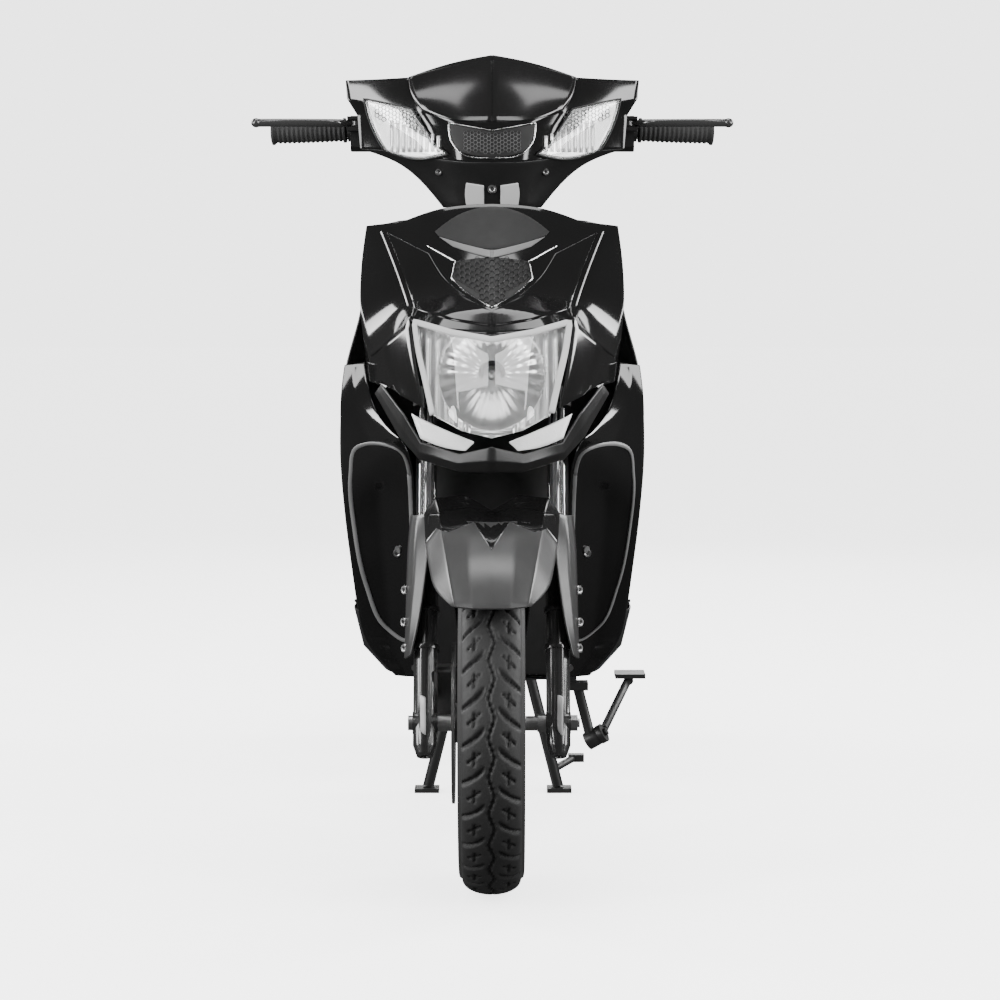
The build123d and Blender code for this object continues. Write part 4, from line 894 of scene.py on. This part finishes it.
panel("floor_mat", whole(floor_rows), "frame", "satin_trim", ["floorboard"], hint=(0, 0, 1), across=(1, 5),
      steps=(6, 6))
for k, x in enumerate(range(-105, 106, 30)):
    tube(f"floor_rib_{k}", [at(x, y, 335.4) for y in (452, 460, 500, 600, 700, 760, 768)], 3.0, "frame",
         "grip_rubber", sides=12)
panel("belly_shell", whole(belly_rows), "frame", "satin_trim", ["belly_pan"], hint=(0, 0, -1),
      across=(1, 2, 6, 7), steps=(5, 6))
for name, side in sides:
    panel(f"side_cover_{name}_skin", sided(side_rows, side), "frame", "gloss_body", [f"side_cover_{name}"],
          hint=(side, 0, 0), across=(1,), down=(1,), steps=(6, 7), soft=1.2)
for name, side in sides:
    span(sided(side_rows, side), 2, 3, 2, 6, f"side_insert_{name}", "frame", "satin_trim", hint=(side, 0, 0),
         across=(1,), down=(1,), steps=(6, 7), lift=1.4, wall=2.0, soft=0.8)
    dense = refine(sided(side_rows, side), (6, 7), (1,), (1,))
    line = [at(p[0] + side * 0.8, p[1], p[2]) for p in dense[7][12:49]]
    tube(f"side_line_{name}", line, 1.8, "frame", "chrome_tube", flat=0.6)
plate_rows = [[(x, 1579, z) for x in (-50, 0, 50)] for z in (440, 402)]
panel("rear_plate_holder", plate_rows, "frame", "satin_trim", hint=(0, 1, 0), wall=4, soft=1.5)
panel("tail_lens", whole(lamp_back_rows), "frame", "red_lens", ["tail_lamp_lens"], hint=(0, 1, 0), wall=4,
      steps=(6, 6), soft=1.2)
panel("rear_mudguard_shell", whole(mudguard_rows), "frame", "satin_trim", ["rear_mudguard"], hint=(0, 0.5, 1),
      across=(1, 3), steps=(6, 6))

# Shock springs ---
shock_high, shock_low = np.array((126.0, 1190.0, 600.0)), np.array((126.0, 1245.0, 258.0))
shock_length = float(np.linalg.norm(shock_low - shock_high))
spring_start, spring_end = 56.3 + 4, shock_length - 44.3 - 4
coils, wire_radius, coil_radius, spring_keep = 9, 4.0, 20.8, 0.79
for name, side in sides:
    high, low = (at(side * end[0], *end[1:]) for end in (shock_high, shock_low))
    way = (low - high).normalized()
    out = Vector((1, 0, 0))
    cross = way.cross(out)
    helix = []
    for k in range(coils * 28 + 1):
        t = k / (coils * 28)
        flat_t = min(1, max(0, (t - 0.07) / 0.86))
        s = spring_start + (spring_end - spring_start) * flat_t
        turn = 2 * math.pi * coils * t
        helix.append(high + way * s * MM + (out * math.cos(turn) + cross * math.sin(turn)) * coil_radius * MM)
    mirror_node = ["shock_springs"] if side > 0 else []
    spring = tube(f"shock_spring_{name}", helix, wire_radius, "shock_lower", "spring_paint", mirror_node,
                  sides=10)
    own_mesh(spring)


# Seat ---
def evaluated(piece):
    graph = bpy.context.evaluated_depsgraph_get()
    return bpy.data.meshes.new_from_object(piece.evaluated_get(graph), depsgraph=graph)


def make_seat():
    """A foam saddle: a crowned block swollen by a cloth pass, with a stepped back half and sunk seams."""
    swell_cap, voxel, frames = 7.0, 0.006, 20
    front_seam, rear_seam, seam_depth, seam_width = 1128, 1345, 2.6, 3.6
    dense = smooth_line(seat_sections, 5)
    ring, points = 44, []
    for y, half, low, high in dense:
        for k in range(ring):
            t = 2 * math.pi * k / ring
            c, s = math.cos(t), math.sin(t)
            x = (half - 5) * math.copysign(abs(c) ** 0.5, c)
            crown = 1 - 0.22 * (abs(x) / max(half, 1)) ** 3 if s > 0 else 1
            z = (low + high) / 2 + (high - low - 6) / 2 * math.copysign(abs(s) ** 0.55, s) * crown
            points.append(at(x, y, z))
    faces = grid_faces(len(dense), ring, False, True)
    faces += [tuple(range(ring)), tuple(reversed(range((len(dense) - 1) * ring, len(dense) * ring)))]
    piece = mesh_piece("seat_cover", points, faces, "seat_vinyl")
    remesh = piece.modifiers.new("even", "REMESH")
    remesh.mode = "VOXEL"
    remesh.voxel_size = voxel
    even = evaluated(piece)
    piece.modifiers.clear()
    piece.data = even
    rest = [v.co.copy() for v in even.vertices]
    cloth = piece.modifiers.new("swell", "CLOTH")
    cloth.settings.use_pressure = True
    cloth.settings.uniform_pressure_force = 4
    cloth.settings.effector_weights.gravity = 0
    cloth.point_cache.frame_end = frames
    for number in range(1, frames + 1):
        bpy.context.scene.frame_set(number)
    swollen = evaluated(piece)
    moved = [v.co.copy() for v in swollen.vertices]
    piece.modifiers.clear()
    bpy.context.scene.frame_set(1)
    for vertex, start, end in zip(piece.data.vertices, rest, moved):
        push = end - start
        if push.length > swell_cap * MM:
            push *= swell_cap * MM / push.length
        vertex.co = start + push
    sections = np.array(seat_sections)
    for vertex in piece.data.vertices:
        x, y, z = vertex.co.x / MM, (vertex.co.y - axle_y) / MM, vertex.co.z / MM
        low = np.interp(y, sections[:, 0], sections[:, 2])
        high = np.interp(y, sections[:, 0], sections[:, 3])
        half = np.interp(y, sections[:, 0], sections[:, 1])
        vertex.co.z = max(vertex.co.z, (low + 0.2) * MM)
        seams = [abs(z - (low + 0.34 * (high - low)))]
        if z > low + 0.5 * (high - low):
            seams += [abs(y - front_seam - 0.00035 * x * x), abs(y - rear_seam + 0.0004 * x * x)]
            seams += [abs(abs(x) - 0.62 * half) if 900 < y < 1440 else 99]
        dip = seam_depth * math.exp(-((min(seams) / seam_width) ** 2))
        vertex.co -= vertex.normal * dip * MM
    divide = piece.modifiers.new("smooth", "SUBSURF")
    divide.levels = divide.render_levels = 1
    for face in piece.data.polygons:
        face.use_smooth = True
    if not piece.data.materials:
        piece.data.materials.append(materials["seat_vinyl"])
    settle(piece, "seat", ["seat_cushion"])


make_seat()

# Stage, light and camera ---
floor_mesh = bpy.data.meshes.new("floor")
floor_mesh.from_pydata([(-30, -30, 0), (30, -30, 0), (30, 30, 0), (-30, 30, 0)], [], [(0, 1, 2, 3)])
floor = add_object("floor", floor_mesh)
finish("studio_floor", 0.84, 0.6, spread=0.01, cloud=2, glow=3.2)
floor_mesh.materials.append(materials["studio_floor"])


def softbox(name, place, aim, size, power):
    data = bpy.data.lights.new(name, "AREA")
    data.shape = "RECTANGLE"
    data.size, data.size_y = size
    data.energy = power
    box = add_object(name, data)
    box.location = place
    box.rotation_euler = (Vector(aim) - Vector(place)).to_track_quat("-Z", "Y").to_euler()


softbox("key", (-2.7, -3.1, 1.9), (0, -0.5, 0.7), (0.55, 2.6), 105)
softbox("fill", (2.7, -3.1, 1.9), (0, -0.5, 0.7), (0.45, 2.6), 75)
for name, side in sides:
    softbox(f"rim_{name}", (side * 2.6, 1.2, 2.0), (0, 0.2, 0.6), (0.9, 2.0), 90)
softbox("top", (0, -0.2, 3.8), (0, -0.2, 0.6), (2.2, 1.2), 60)
for name, side in sides:
    softbox(f"brow_{name}", (side * 0.9, -2.2, 3.1), (0, -0.4, 1.0), (0.3, 1.2), 9)
for name, side in sides:
    softbox(f"edge_{name}", (side * 3.4, -1.5, 1.1), (0, -0.4, 0.8), (0.9, 2.2), 95)
softbox("back", (0.4, 4.2, 2.2), (0, 0.5, 0.7), (1.6, 1.4), 70)
floor.visible_glossy = floor.visible_diffuse = False

# The world is dim for glossy rays, so that gloss black reads dark, and brighter for the camera's own rays.
world_strength, glossy_strength, camera_extra = 1.0, 0.07, 2.3
world = bpy.data.worlds.new("studio")
world.use_nodes = True
sky_nodes, sky_links = world.node_tree.nodes, world.node_tree.links
backdrop = sky_nodes["Background"]
dial(backdrop, {"Color": (1, 1, 1, 1)})
rays = sky_nodes.new("ShaderNodeLightPath")
dim = sky_nodes.new("ShaderNodeMapRange")
dial(dim, {"To Min": world_strength, "To Max": glossy_strength})
sky_links.new(rays.outputs["Is Glossy Ray"], dim.inputs["Value"])
lift = sky_nodes.new("ShaderNodeMath")
lift.operation = "MULTIPLY_ADD"
lift.inputs[1].default_value = camera_extra
sky_links.new(rays.outputs["Is Camera Ray"], lift.inputs[0])
sky_links.new(dim.outputs["Result"], lift.inputs[2])
sky_links.new(lift.outputs["Value"], backdrop.inputs["Strength"])
bpy.context.scene.world = world

lens_mm, camera_pitch = 114.2, 4.146
camera_data = bpy.data.cameras.new("camera")
camera_data.lens = lens_mm
camera_data.sensor_width = 36
camera_data.clip_end = 100
camera = add_object("camera", camera_data)
camera.location = (0.0113, axle_y - 4.3, 0.85)
camera.rotation_euler = (math.radians(90 - camera_pitch), 0, 0)
bpy.context.scene.camera = camera
